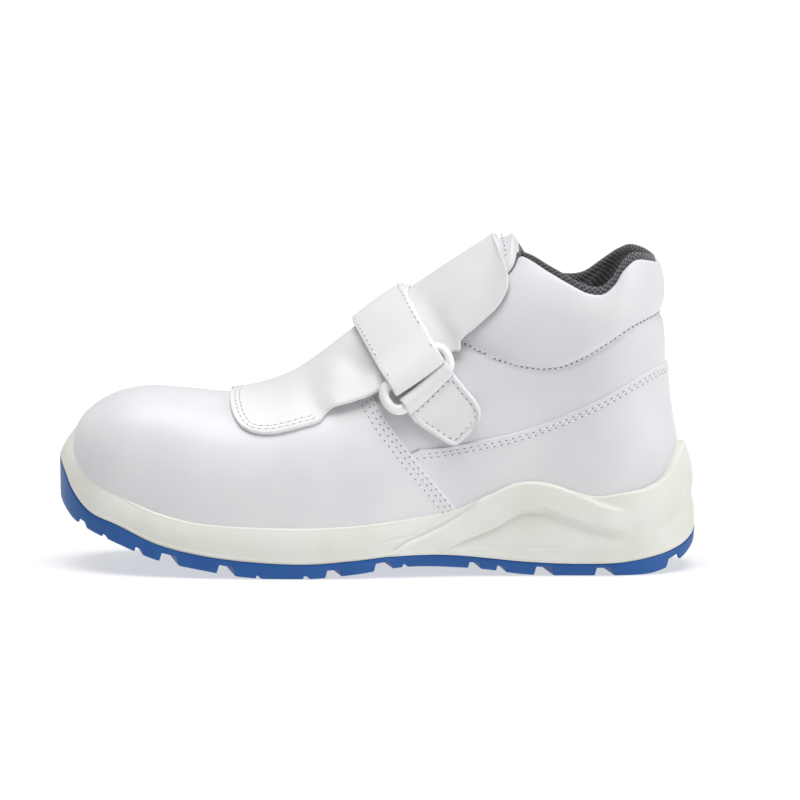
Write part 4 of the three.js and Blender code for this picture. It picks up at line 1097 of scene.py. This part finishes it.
# Tab
SHIELD_FRONT = np.array([
    # down from the ring's lower bar, up the ridge
    [0, 66.9], [3.3, 67.4], [7.4, 69.2], [9.0, 69.3], [15.8, 72.1], [19.4, 73.7], [22.6, 75.1], [24.3, 75.9],
    [26.0, 77.0], [27.1, 78.2], [27.9, 80.0],
])
SHIELD_BACK = np.array([
    [0, 97.1], [8.5, 98.1], [17.1, 99.0], [20.1, 98.7], [22.0, 98.0], [23.4, 97.0], [24.6, 95.6],
    [25.4, 94.0], [25.8, 92.2],
])
shield_front, shield_back = column(SHIELD_FRONT, 1), column(SHIELD_BACK, 1)
QUARTER_TOP = OVERLAY_STEP + CLEARANCE
SHIELD_WALL = 1.2


def shield_top(w):
    """How far down the shield's upper edge lies, from its front end to its back end."""
    return 4.7 - 3.8 * w


def shield_bottom(w):
    """How far down the shield's lower edge lies, from its front end to its back end."""
    front_end, back_end = SHIELD_FRONT[-1, 0], SHIELD_BACK[-1, 0]
    return front_end + (back_end - front_end) * w + 0.5 * np.sin(np.pi * w)


def shield_point(down, w):
    """Place up the ridge, from the shield's front edge at w = 0 to its back edge at w = 1."""
    return shield_front(down) + (shield_back(down) - shield_front(down)) * w


def shield_offset(down):
    """Offset of the shield's outer face: it comes down from the ring's bar to the quarter."""
    return QUARTER_TOP + TAB_THICKNESS + 3.2 * (1 - smooth((down - 1) / 13))


def make_tab():
    half = TAB_LOOP_WALL / 2
    radius = RING_WIRE / 2 + CLEARANCE + half + 0.05
    path = [(low_bar_run - 8, QUARTER_TOP + half), (low_bar_run - 3.6, QUARTER_TOP + half + 0.1)]
    for a in np.radians(np.linspace(-75, 100, 14)):
        path.append((low_bar_run + radius * math.cos(a), LOW_BAR_OFFSET + radius * math.sin(a)))
    for down in (3.0, 6.0, 8.0):
        path.append((low_bar_run - down, shield_offset(down) - half - 0.12 * (down - 3)))
    path = smooth_path(path, 0.6)
    s, run, off = strip_points(path, TAB_LOOP_WALL, TAB_LOOP_WIDTH + 4.2, 82.1, corner=0.6)
    band = strap_point(*turned_ring(s, run), off)
    loop = closed_tube("ring_loop", band, TAB_LEATHER)
    V, W = np.meshgrid(edged(60, 27, 1.6), edged(60, 28, 1.6), indexing="ij")
    top_edge = shield_top(W)
    down = top_edge + (shield_bottom(W) - top_edge) * V
    s = shield_point(down, W)
    run = low_bar_run - down
    outer = strap_point(s, run, shield_offset(down))
    inner = strap_point(s, run, np.full(s.shape, QUARTER_TOP - 0.1))
    normal = unit(outer - inner)
    d = edge_distance(outer, "bcd")
    f = round_edge(edge_distance(outer) / 1.1)[..., None]
    sunk = 0.5 * smooth((d - 2.2) / 1.4)
    rim_roll = 0.35 * np.exp(-((d - 1.3) / 0.8) ** 2)
    stitch_press = 0.3 * np.exp(-((d - 3.0) / 0.45) ** 2)
    border = outer - normal * SHIELD_WALL
    top = outer - normal * SHIELD_WALL * (1 - f) + normal * (rim_roll - sunk - stitch_press)[..., None]
    bottom = inner + (border - inner) * (1 - f)
    top = np.where(f > 0, top, border)
    points, faces = two_faces(top, bottom)
    shield = make_object("ring_tab_shield", points, faces, TAB_LEATHER, ["ring_tab"])
    return loop, shield


# Insole
def make_insole():
    turn = np.linspace(0, 1, 181)[:-1]
    ring = chart(turn, np.zeros(180)) + chart_normal(turn, np.zeros(180)) * (-UPPER_WALL - 2 * CLEARANCE)
    spine = np.stack([ring[:, 0], swing_at(ring[:, 0]), ring[:, 2]], 1)
    spine = (spine + np.roll(spine[::-1], 1, axis=0)) / 2
    rows = []
    for rho in np.concatenate([np.linspace(0, 0.95, 24), [0.975, 0.99, 1.0]]):
        cup = 2.2 * smooth((rho - 0.6) / 0.4) - 1.5 * smooth((rho - 0.97) / 0.03)
        p = spine + (ring - spine) * rho
        p[:, 2] += INSOLE_THICKNESS + cup
        rows.append(p)
    for rho in (1.0, 0.5, 0):
        rows.append(spine + (ring - spine) * rho)
    grid = np.array(rows)
    n, m = grid.shape[:2]
    return make_object("footbed", grid.reshape(-1, 3), grid_quads(n, m, True), FOOTBED,
                       ["insole"])


# Midsole
def px(points):
    """Side-view millimetres from points of the photograph's frame, on the outer side."""
    p = np.array(points, float)
    return np.stack([(p[:, 0] - ORIGIN_COLUMN) / PIXELS_PER_MM, (FLOOR_ROW - p[:, 1]) / PIXELS_PER_MM], 1)


BAND_TOP = px([[386, 553], [398.7, 544.5], [409.5, 538.2], [422.5, 533.3], [442, 524.3], [457, 516],
               [470, 508], [480, 496], [505, 482], [522, 478], [540, 479], [560, 487], [581, 495],
               [601, 502.4], [616.5, 507], [632, 507]])
BAND_LOW = px([[430, 553], [455, 542], [480, 531.5], [496, 524.7], [512.6, 514.6], [520, 511.4], [535, 511],
               [547, 516], [560, 521.4], [586, 530], [601, 534], [622, 537]])
LOW_CREASE = px([[448, 543.5], [500, 545.5], [565, 546]])
FRONT_CREASE = px([[372, 541], [390, 537], [418, 532]])


def midsole_relief(x, z):
    """How far the raised band and its creases stand out from the midsole's wall."""
    above = polyline_distance(x, z, BAND_TOP)
    low = polyline_distance(x, z, BAND_LOW)
    in_x = smooth((x - BAND_TOP[0, 0]) / 8) * (1 - smooth((x - 108) / 14))
    sharp_top = 0.6 + 1.4 * smooth((x - 92) / 16)
    ridge = smooth((0.4 - above) / sharp_top)
    facet = 1.1 + 3.2 * smooth((x - 76) / 4)
    step = 1 - smooth(low / facet)
    low_z = np.interp(x, BAND_LOW[:, 0], BAND_LOW[:, 1])
    crease = 13.5
    fall = np.clip((z - crease) / np.maximum(low_z - crease, 3), 0, 1)
    panel = 1 - step * (0.35 + 0.65 * fall)
    cuts = 0.0
    for line, depth, width in ((BAND_TOP[:7], 0.8, 0.55), (LOW_CREASE, 0.3, 0.5), (FRONT_CREASE, 0.3, 0.5)):
        inside = smooth((x - line[0, 0]) / 6) * (1 - smooth((x - line[-1, 0] + 5) / 6))
        cuts = cuts + depth * inside * np.exp(-(polyline_distance(x, z, line) / width) ** 2)
    return 1.8 * ridge * panel * in_x - cuts


def rim_contact(turn, z):
    """How far inwards from the sole's outline the upper's surface lies at a height."""
    insets = np.linspace(0, 26, 105)
    q = inset_outline(turn[:, None], np.broadcast_to(insets, (len(turn), len(insets))))
    Z = np.broadcast_to(z[:, None], q.shape[:2])
    side = np.where((turn % 1) <= 0.5, -1, 1)[:, None] * np.ones(q.shape[:2])
    b = half_breadth(q[..., 0], Z, side) + OVERLAY_STEP
    gap = b - np.abs(q[..., 1] - swing_at(q[..., 0]) * (1 - Z / BOOT_HEIGHT))
    inside_x = (half_breadth(q[..., 0], Z, side) > 0.5)
    gap = np.where(inside_x, gap, -1)
    return crossing(gap, insets)


def make_midsole():
    turn = np.linspace(0, 1, 761)[:-1]
    around = around_at(turn)
    low = sole_height("seam", around) + 0.1
    high = sole_height("rim", around)
    lean = sole_line["lean"](around) * TOE_LEAN
    contact = rim_contact(turn, high - 1)
    contact = np.maximum(contact, lean + 2.5)
    kernel = np.ones(9) / 9
    contact = np.convolve(np.concatenate([contact[-4:], contact, contact[:4]]), kernel, "valid")
    width = np.maximum(contact - lean, 2.6)
    r = np.minimum(2.2, width * 0.5)
    levels = np.concatenate([[0, 0.012, 0.03, 0.05], np.linspace(0.08, 0.93, 46)])
    rows = []
    wall = high - low

    def add(inset, z, push=0.0):
        p = inset_outline(turn, inset - push)
        rows.append(np.stack([p[:, 0], p[:, 1], z], 1))

    def wall_inset(level):
        waist = 1.2 * smooth((around - 0.8) / 0.12) * np.exp(-((level - 0.4) / 0.1) ** 2)
        return lean * level ** (1.5 + 2.5 * around) + waist

    top_level = np.clip(1 - r / wall, 0.5, 0.97)
    for level in levels:
        use = level * top_level / levels[-1]
        z = low + wall * use
        p = inset_outline(turn, wall_inset(use))
        push = midsole_relief(p[:, 0], z)
        lip = -0.35 * np.exp(-(wall * use / 0.45) ** 2) + 0.25 * np.exp(-((wall * use - 1.0) / 0.6) ** 2)
        add(wall_inset(use), z, push + lip)
    base_inset = wall_inset(top_level)
    p = inset_outline(turn, base_inset)
    push_top = midsole_relief(p[:, 0], high - 0.5)
    for a in np.radians(np.linspace(0, 90, 8)[1:]):
        z = low + wall * top_level + (high - low - wall * top_level) * np.sin(a)
        add(base_inset + r * (1 - np.cos(a)), z, push_top * np.cos(a))
    for share, drop in ((0.45, 0.05), (0.8, 0.35), (1.0, 0.9)):
        add(base_inset + r + (contact + 1.0 - base_inset - r) * share, high - drop)
    add(contact + 1.2, low + wall * 0.5)
    add(np.minimum(contact + 1.2, 12), low + 0.5)
    add(np.minimum(contact + 1.2, 12) * 0.5, low)
    grid = np.array(rows)
    n, m = grid.shape[:2]
    faces = np.vstack([grid_quads(n, m, True),
                       [[(n - 1) * m + k, (n - 1) * m + (k + 1) % m, (k + 1) % m, k] for k in range(m)]])
    return make_object("foam_midsole", grid.reshape(-1, 3), faces, FOAM, ["midsole"])


# Outsole
def groove_stations():
    """Stations along the sole, dense at its ends, with a set of them at each groove's walls."""
    fixed = []
    for along, width, depth in GROOVES:
        x = along_to_x(along)
        for dx, d in ((-width / 2 - 0.5, 0), (-width / 2 - 0.12, 0.06), (-width / 2 + 0.12, 0.25),
                      (-width / 2 + depth * 0.25 - 0.1, 0.95), (-width / 2 + depth * 0.25 + 0.35, 1),
                      (width / 2 - depth * 0.25 - 0.35, 1), (width / 2 - depth * 0.25 + 0.1, 0.95),
                      (width / 2 - 0.12, 0.25), (width / 2 + 0.12, 0.06), (width / 2 + 0.5, 0)):
            fixed.append((x + dx, d * depth))
    half = SOLE_LENGTH / 2
    spaced = -np.cos(np.linspace(0, np.pi, 150)) * half
    xs = np.array([f[0] for f in fixed])
    extra = [(x, None) for x in spaced if np.min(np.abs(xs - x)) > 0.8]
    fixed = [f for f in fixed if abs(f[0]) < half - 0.3]
    rows = sorted(fixed + extra)
    x = np.array([r[0] for r in rows])
    known = [(r[0], r[1]) for r in rows if r[1] is not None]
    depth = np.interp(x, [k[0] for k in known], [k[1] for k in known])
    return x, depth


def make_outsole():
    xs, groove = groove_stations()
    half = SOLE_LENGTH / 2
    ends = smooth((half - np.abs(xs)) / 26)
    centre = np.zeros(len(xs))
    for a, b in ((0.1, 0.5), (0.67, 0.93)):
        x0, x1 = along_to_x(a), along_to_x(b)
        centre = np.maximum(centre, smooth((xs - x0) / 3) * smooth((x1 - xs) / 3))
    all_points, all_faces = [], []
    count = 0
    for side in (-1, 1):
        half_groove = CENTRE_GROOVE / 2
        rows = []
        offsets = [(0.0, 1.0), (half_groove - 0.5, 1.0), (half_groove - 0.1, 0.9), (half_groove + 0.2, 0.1),
                   (half_groove + 0.6, 0.0)]

        def place(y_from_centre):
            """Points of one line along the sole: x follows the grooves' skew."""
            x = xs.copy()
            for _ in range(5):
                ends_round = rounded(x + half, *TOE_ROUND) * rounded(half - x, *HEEL_ROUND)
                breadth = sole_breadth(x, side) * ends_round
                y = y_from_centre(breadth)
                share = (y - half_groove) / (BALL_WIDTH * 0.75 - half_groove)
                shift = GROOVE_SKEW * (1.5 * share - 1)
                x = np.clip(xs + shift * ends, -half, half)
            return x, y, breadth

        for dist, c in offsets:
            x, y, breadth = place(lambda b: np.minimum(dist, b * 0.5))
            z = sole_height("tread", around_of_x(x))
            d = np.maximum(groove, CENTRE_DEPTH * c * centre)
            rows.append(np.stack([x, swing_at(x) + side * y, z + d], 1))
        for share in np.linspace(0.12, 0.965, 16):
            x, y, breadth = place(lambda b: np.maximum((b - 0.6) * share,
                                                       np.minimum(half_groove + 0.6, b * 0.5)))
            z = sole_height("tread", around_of_x(x))
            rows.append(np.stack([x, swing_at(x) + side * y, z + groove], 1))
        # Lower corner, wall and seam, all on the outline
        x_edge, _, _ = place(lambda b: b)
        turn = np.arccos(np.clip(1 - 2 * x_to_along(x_edge), -1, 1)) / (2 * np.pi)
        turn = turn if side < 0 else 1 - turn
        tread = sole_height("tread", around_at(turn))
        seam = sole_height("seam", around_at(turn))
        room = np.maximum(seam - 0.25 - tread, 0.6)
        cut = np.minimum(groove, room - 0.5)
        base = tread + cut
        for inset, rise in ((0.9, 0.0), (0.45, 0.12), (0.12, 0.5)):
            p = inset_outline(turn, np.full(turn.shape, inset))
            rows.append(np.stack([p[:, 0], p[:, 1], base + rise], 1))
        top = seam - 0.1
        for share in np.linspace(0, 1, 9)[1:-1]:
            p = inset_outline(turn, np.full(turn.shape, 0.0 - 0.2 * share))
            z = base + 0.5 + (top - 0.5 - base - 0.5) * share
            rows.append(np.stack([p[:, 0], p[:, 1], z], 1))
        for inset, drop in ((-0.2, 0.4), (-0.05, 0.1), (0.4, 0.0), (3.0, 0.0)):
            p = inset_outline(turn, np.full(turn.shape, inset))
            rows.append(np.stack([p[:, 0], p[:, 1], top - drop], 1))
        for share in (0.6, 0.3, 0.0):
            x, y, breadth = place(lambda b: b * share * 0.94)
            z = sole_height("seam", around_of_x(x)) - 0.1
            rows.append(np.stack([x, swing_at(x) + side * y, z], 1))
        grid = np.array(rows)
        n, m = grid.shape[:2]
        quads = grid_quads(n, m, False, count)
        all_faces.append(quads if side < 0 else quads[:, ::-1])
        all_points.append(grid.reshape(-1, 3))
        count += n * m
    return make_object("rubber_outsole", np.vstack(all_points), np.vstack(all_faces), RUBBER,
                       ["outsole"], sharp=40)


# Stitching
class Seams:
    """Rows of stitches: a thread mesh, with small dark blobs of painted shade for the needle holes at the
    ends of each stitch.
    """

    def __init__(self, name, slot, pitch=3.4, size=1.0, hole=1.0):
        self.name, self.slot, self.pitch, self.size, self.hole = name, slot, pitch, size, hole
        self.points, self.faces, self.index, self.count = [], [], [], 0

    def add_blob(self, centre, along, across, up, la, lb, lc, kind, rings=2, sides=6):
        grid = []
        for i in range(rings + 2):
            lat = -math.pi / 2 + math.pi * i / (rings + 1)
            for j in range(sides):
                lon = 2 * math.pi * j / sides
                grid.append(centre + along * la * math.sin(lat)
                            + (across * lb * math.cos(lon) + up * lc * math.sin(lon)) * math.cos(lat))
        self.points.append(np.array(grid))
        quads = grid_quads(rings + 2, sides, True, self.count)
        self.faces.append(quads)
        self.index += [kind] * len(quads)
        self.count += len(grid)

    def row(self, points, normals, pitch=None):
        pitch = pitch or self.pitch
        run = running(points)
        n = max(1, int(round(run[-1] / pitch)))
        step = run[-1] / n
        for k in range(n):
            ends = [np.array([np.interp(step * k + step * t, run, points[:, i]) for i in range(3)])
                    for t in (0.04, 0.68)]
            up = unit(np.array([np.interp(step * (k + 0.4), run, normals[:, i]) for i in range(3)]))
            along = ends[1] - ends[0]
            length = np.linalg.norm(along)
            along = along / max(length, 1e-6)
            across = unit(np.cross(up, along))
            middle = (ends[0] + ends[1]) / 2
            self.add_blob(middle + up * 0.02, along, across, up, length / 2, 0.34 * self.size,
                          0.3 * self.size, 0)
            # Each needle hole is a small dark blob of painted shade, not a real opening
            hole = ends[1] + along * step * 0.18
            self.add_blob(hole, along, across, up, 0.62 * self.hole, 0.34 * self.hole, 0.1, 1, 1, 8)

    def finish(self):
        points = np.vstack(self.points)
        faces = np.vstack(self.faces)
        return make_object(self.name, points, faces, [THREAD, NEEDLE_HOLE_SHADE], index=self.index)


def chart_row(seams, turn, rise, offset, pitch=None):
    x, z, side = chart_side(turn, rise)
    normal = chart_normal(turn, rise)
    points = on_upper(x, z, side) + normal * (offset + relief(x, z, side))[..., None]
    seams.row(points, normal, pitch)


def make_upper_seams():
    seams = Seams("upper_stitching", "upper_leather")
    for back in (1.5, 3.5, 5.9):
        rises = np.linspace(0.03, VAMP_REAR_TOP - 0.01, 200)
        lateral, medial = vamp_turn(rises, back)
        for turns in (lateral, medial):
            chart_row(seams, turns, rises, VAMP_OFFSET)
    for below in (2.4, 4.2):
        turns = np.linspace(0.235, 0.765, 500)
        chart_row(seams, turns, counter_rise(turns, below), COUNTER_OFFSET)
    seams.hole = 1.3
    turns = np.linspace(0.06, 0.94, 800)
    rises = np.linspace(0.3, 0.99, 300)
    x, z, _ = chart_side(turns[:, None], rises[None, :])
    found = crossing(z - padding_z(x), rises)
    keep = (found > 0) & (chart_side(turns, found)[0] > 40)
    by_flap = np.minimum(turns, 1 - turns)[keep]
    chart_row(seams, turns[keep], found[keep], 0.5 + 0.45 * (1 - smooth((by_flap - 0.12) / 0.1)), 2.7)
    return seams.finish()


def offset_polyline(points, distance):
    tangent = unit(np.gradient(points, axis=0))
    return points + np.stack([-tangent[:, 1], tangent[:, 0]], 1) * distance


def make_flap_seams():
    seams = Seams("flap_stitching", "flap_leather")
    s = np.linspace(FLAP_FRONT, 33, 70)
    side = np.stack([s, flap_side(s)], 1)
    front = np.stack([np.full(20, FLAP_FRONT), np.linspace(0, FLAP_SIDE[0, 1], 20)], 1)[:-1]
    half = np.vstack([front, side])
    outline = np.vstack([(half * [1, -1])[::-1], half[1:]])
    outline = smooth_path(outline, 0.8)
    for distance in (2.5, 4.5):
        line = offset_polyline(outline, -distance)
        line = line[line[:, 0] > FLAP_FRONT + 0.5]
        run = line[:, 1]
        S = bowed(line[:, 0], run)
        points, normal = instep_with_normal(
            S, run, flap_under(S, run) + FLAP_THICKNESS + flap_dents(S, run))
        seams.row(points, normal, 3.3)
    return seams.finish()


def make_strap_seams():
    seams = Seams("strap_stitching", "strap_leather", 3.2, 1.0, 0.95)
    top = bar_offset + RING_WIRE / 2 + CLEARANCE + STRAP_THICKNESS
    for place in (STRAP_PLACE - STRAP_WIDTH / 2 + 1.8, STRAP_PLACE + STRAP_WIDTH / 2 - 1.8):
        run = np.arange(bar_run - 0.5, STRAP_END - 1.5, 0.8)
        down = smooth((run - bar_run) / 12)
        offset = top + (strap_base(run) + STRAP_THICKNESS * 1.5 + CLEARANCE - top) * down
        S = np.full(run.shape, place)
        crown = 0.35 * (1 - ((S - STRAP_PLACE) / (STRAP_WIDTH / 2)) ** 2)
        S = S + strap_slide(run)
        points = strap_point(S, run, offset + crown)
        normal = unit(strap_point(S, run, offset + 3) - points)
        seams.row(points, normal)
    return seams.finish()


def make_tab_seams():
    seams = Seams("tab_stitching", "tab_leather", 3.4, 1.0, 1.15)
    down = np.linspace(4.7, SHIELD_FRONT[-1, 0], 60)
    front = np.stack([shield_front(down), down], 1)
    across = np.linspace(0, 1, 20)[1:-1]
    low = np.stack([shield_point(shield_bottom(across), across), shield_bottom(across)], 1)
    down = np.linspace(SHIELD_BACK[-1, 0], 0.9, 60)
    back = np.stack([shield_back(down), down], 1)
    outline = smooth_path(np.vstack([front, low, back]), 0.8)
    line = smooth_path(offset_polyline(outline, -3.0)[3:-3], 0.8)
    across = np.linspace(0.04, 0.97, 40)
    top_edge = shield_top(across) + 0.7
    top_s = shield_point(top_edge, across)
    for S, down, sunk in ((line[:, 0], line[:, 1], 0.55), (top_s, top_edge, 0.15)):
        run = low_bar_run - down
        points = strap_point(S, run, shield_offset(down) - sunk)
        normal = unit(strap_point(S, run, shield_offset(down) + 5.0) - points)
        seams.row(points, normal)
    return seams.finish()


def make_tongue_seams():
    seams = Seams("tongue_stitching", "tongue_leather", 3.4)
    run = np.linspace(-19, 19, 60)
    S = TAB_START + (TONGUE_END - TAB_START) * (1 - (np.abs(run) / 24) ** 2.5) ** 0.4 - 4.6
    points, normal = instep_with_normal(S, run, OVERLAY_STEP + lift(S, run) + 0.38)
    seams.row(points, normal)
    return seams.finish()


make_upper()
make_vamp()
make_counter()
make_lining()
make_tongue()
make_flap()
make_strap()
make_ring()
make_tab()
make_insole()
make_midsole()
make_outsole()
make_upper_seams()
make_flap_seams()
make_strap_seams()
make_tab_seams()
make_tongue_seams()

# Floor, light and camera
FLOOR_REACH = 20
floor_mesh = bpy.data.meshes.new("floor")
bm = bmesh.new()
bmesh.ops.create_grid(bm, x_segments=8, y_segments=8, size=FLOOR_REACH)
bm.to_mesh(floor_mesh)
bm.free()
floor = bpy.data.objects.new("floor", floor_mesh)
floor.location.z = -0.0002
bpy.context.scene.collection.objects.link(floor)
floor_material, tree, shader = node_material("pale_floor", 0.8, Specular_IOR_Level=0.1)
coords = object_coords(tree)
tinted(tree, shader, noise(tree, coords, 2, 1.0), "#a2a2a2", "#a6a6a6")
shader.inputs["Emission Color"].default_value = (1, 1, 1, 1)
shader.inputs["Emission Strength"].default_value = 0.6
floor_mesh.materials.append(floor_material)

world = bpy.data.worlds.new("studio")
bpy.context.scene.world = world
world.use_nodes = True
tree = world.node_tree
background = tree.nodes["Background"]
background.inputs["Color"].default_value = (1, 1, 1, 1)
direction = add_node(tree, "ShaderNodeTexCoord").outputs["Generated"]
split = add_node(tree, "ShaderNodeSeparateXYZ")
tree.links.new(direction, split.inputs["Vector"])
glow = add_node(tree, "ShaderNodeMapRange", From_Min=-0.1, From_Max=0.6, To_Min=0.12, To_Max=0.5)
tree.links.new(split.outputs["Y"], glow.inputs["Value"])
tree.links.new(glow.outputs["Result"], background.inputs["Strength"])


def soft_light(name, azimuth, elevation, strength, spread):
    """A wide soft light from far away. azimuth turns from the outer side towards the heel, in degrees."""
    data = bpy.data.lights.new(name, "SUN")
    data.energy = strength
    data.angle = math.radians(spread)
    lamp = bpy.data.objects.new(name, data)
    a, e = math.radians(azimuth), math.radians(elevation)
    place = Vector((math.sin(a) * math.cos(e), -math.cos(a) * math.cos(e), math.sin(e)))
    lamp.location = place
    lamp.rotation_euler = (-place).to_track_quat("-Z", "Y").to_euler()
    bpy.context.scene.collection.objects.link(lamp)


soft_light("overhead", -10, 80, 2.85, 45)
soft_light("heel_side", 66, 14, 1.25, 40)

ELEVATION = math.radians(6.5)
DISTANCE = 3.5
FRAME_WIDTH = 800
AIM = (0.01106, 0.0, 0.0794)
camera_data = bpy.data.cameras.new("camera")
camera_data.sensor_width = 36
camera_data.lens = camera_data.sensor_width * DISTANCE / (FRAME_WIDTH / PIXELS_PER_MM * MM)
camera_data.clip_end = 30
camera = bpy.data.objects.new("camera", camera_data)
camera.location = (AIM[0], AIM[1] - DISTANCE * math.cos(ELEVATION), AIM[2] + DISTANCE * math.sin(ELEVATION))
camera.rotation_euler = (math.pi / 2 - ELEVATION, 0, 0)
bpy.context.scene.collection.objects.link(camera)
bpy.context.scene.camera = camera
bpy.context.scene.view_settings.view_transform = "Standard"
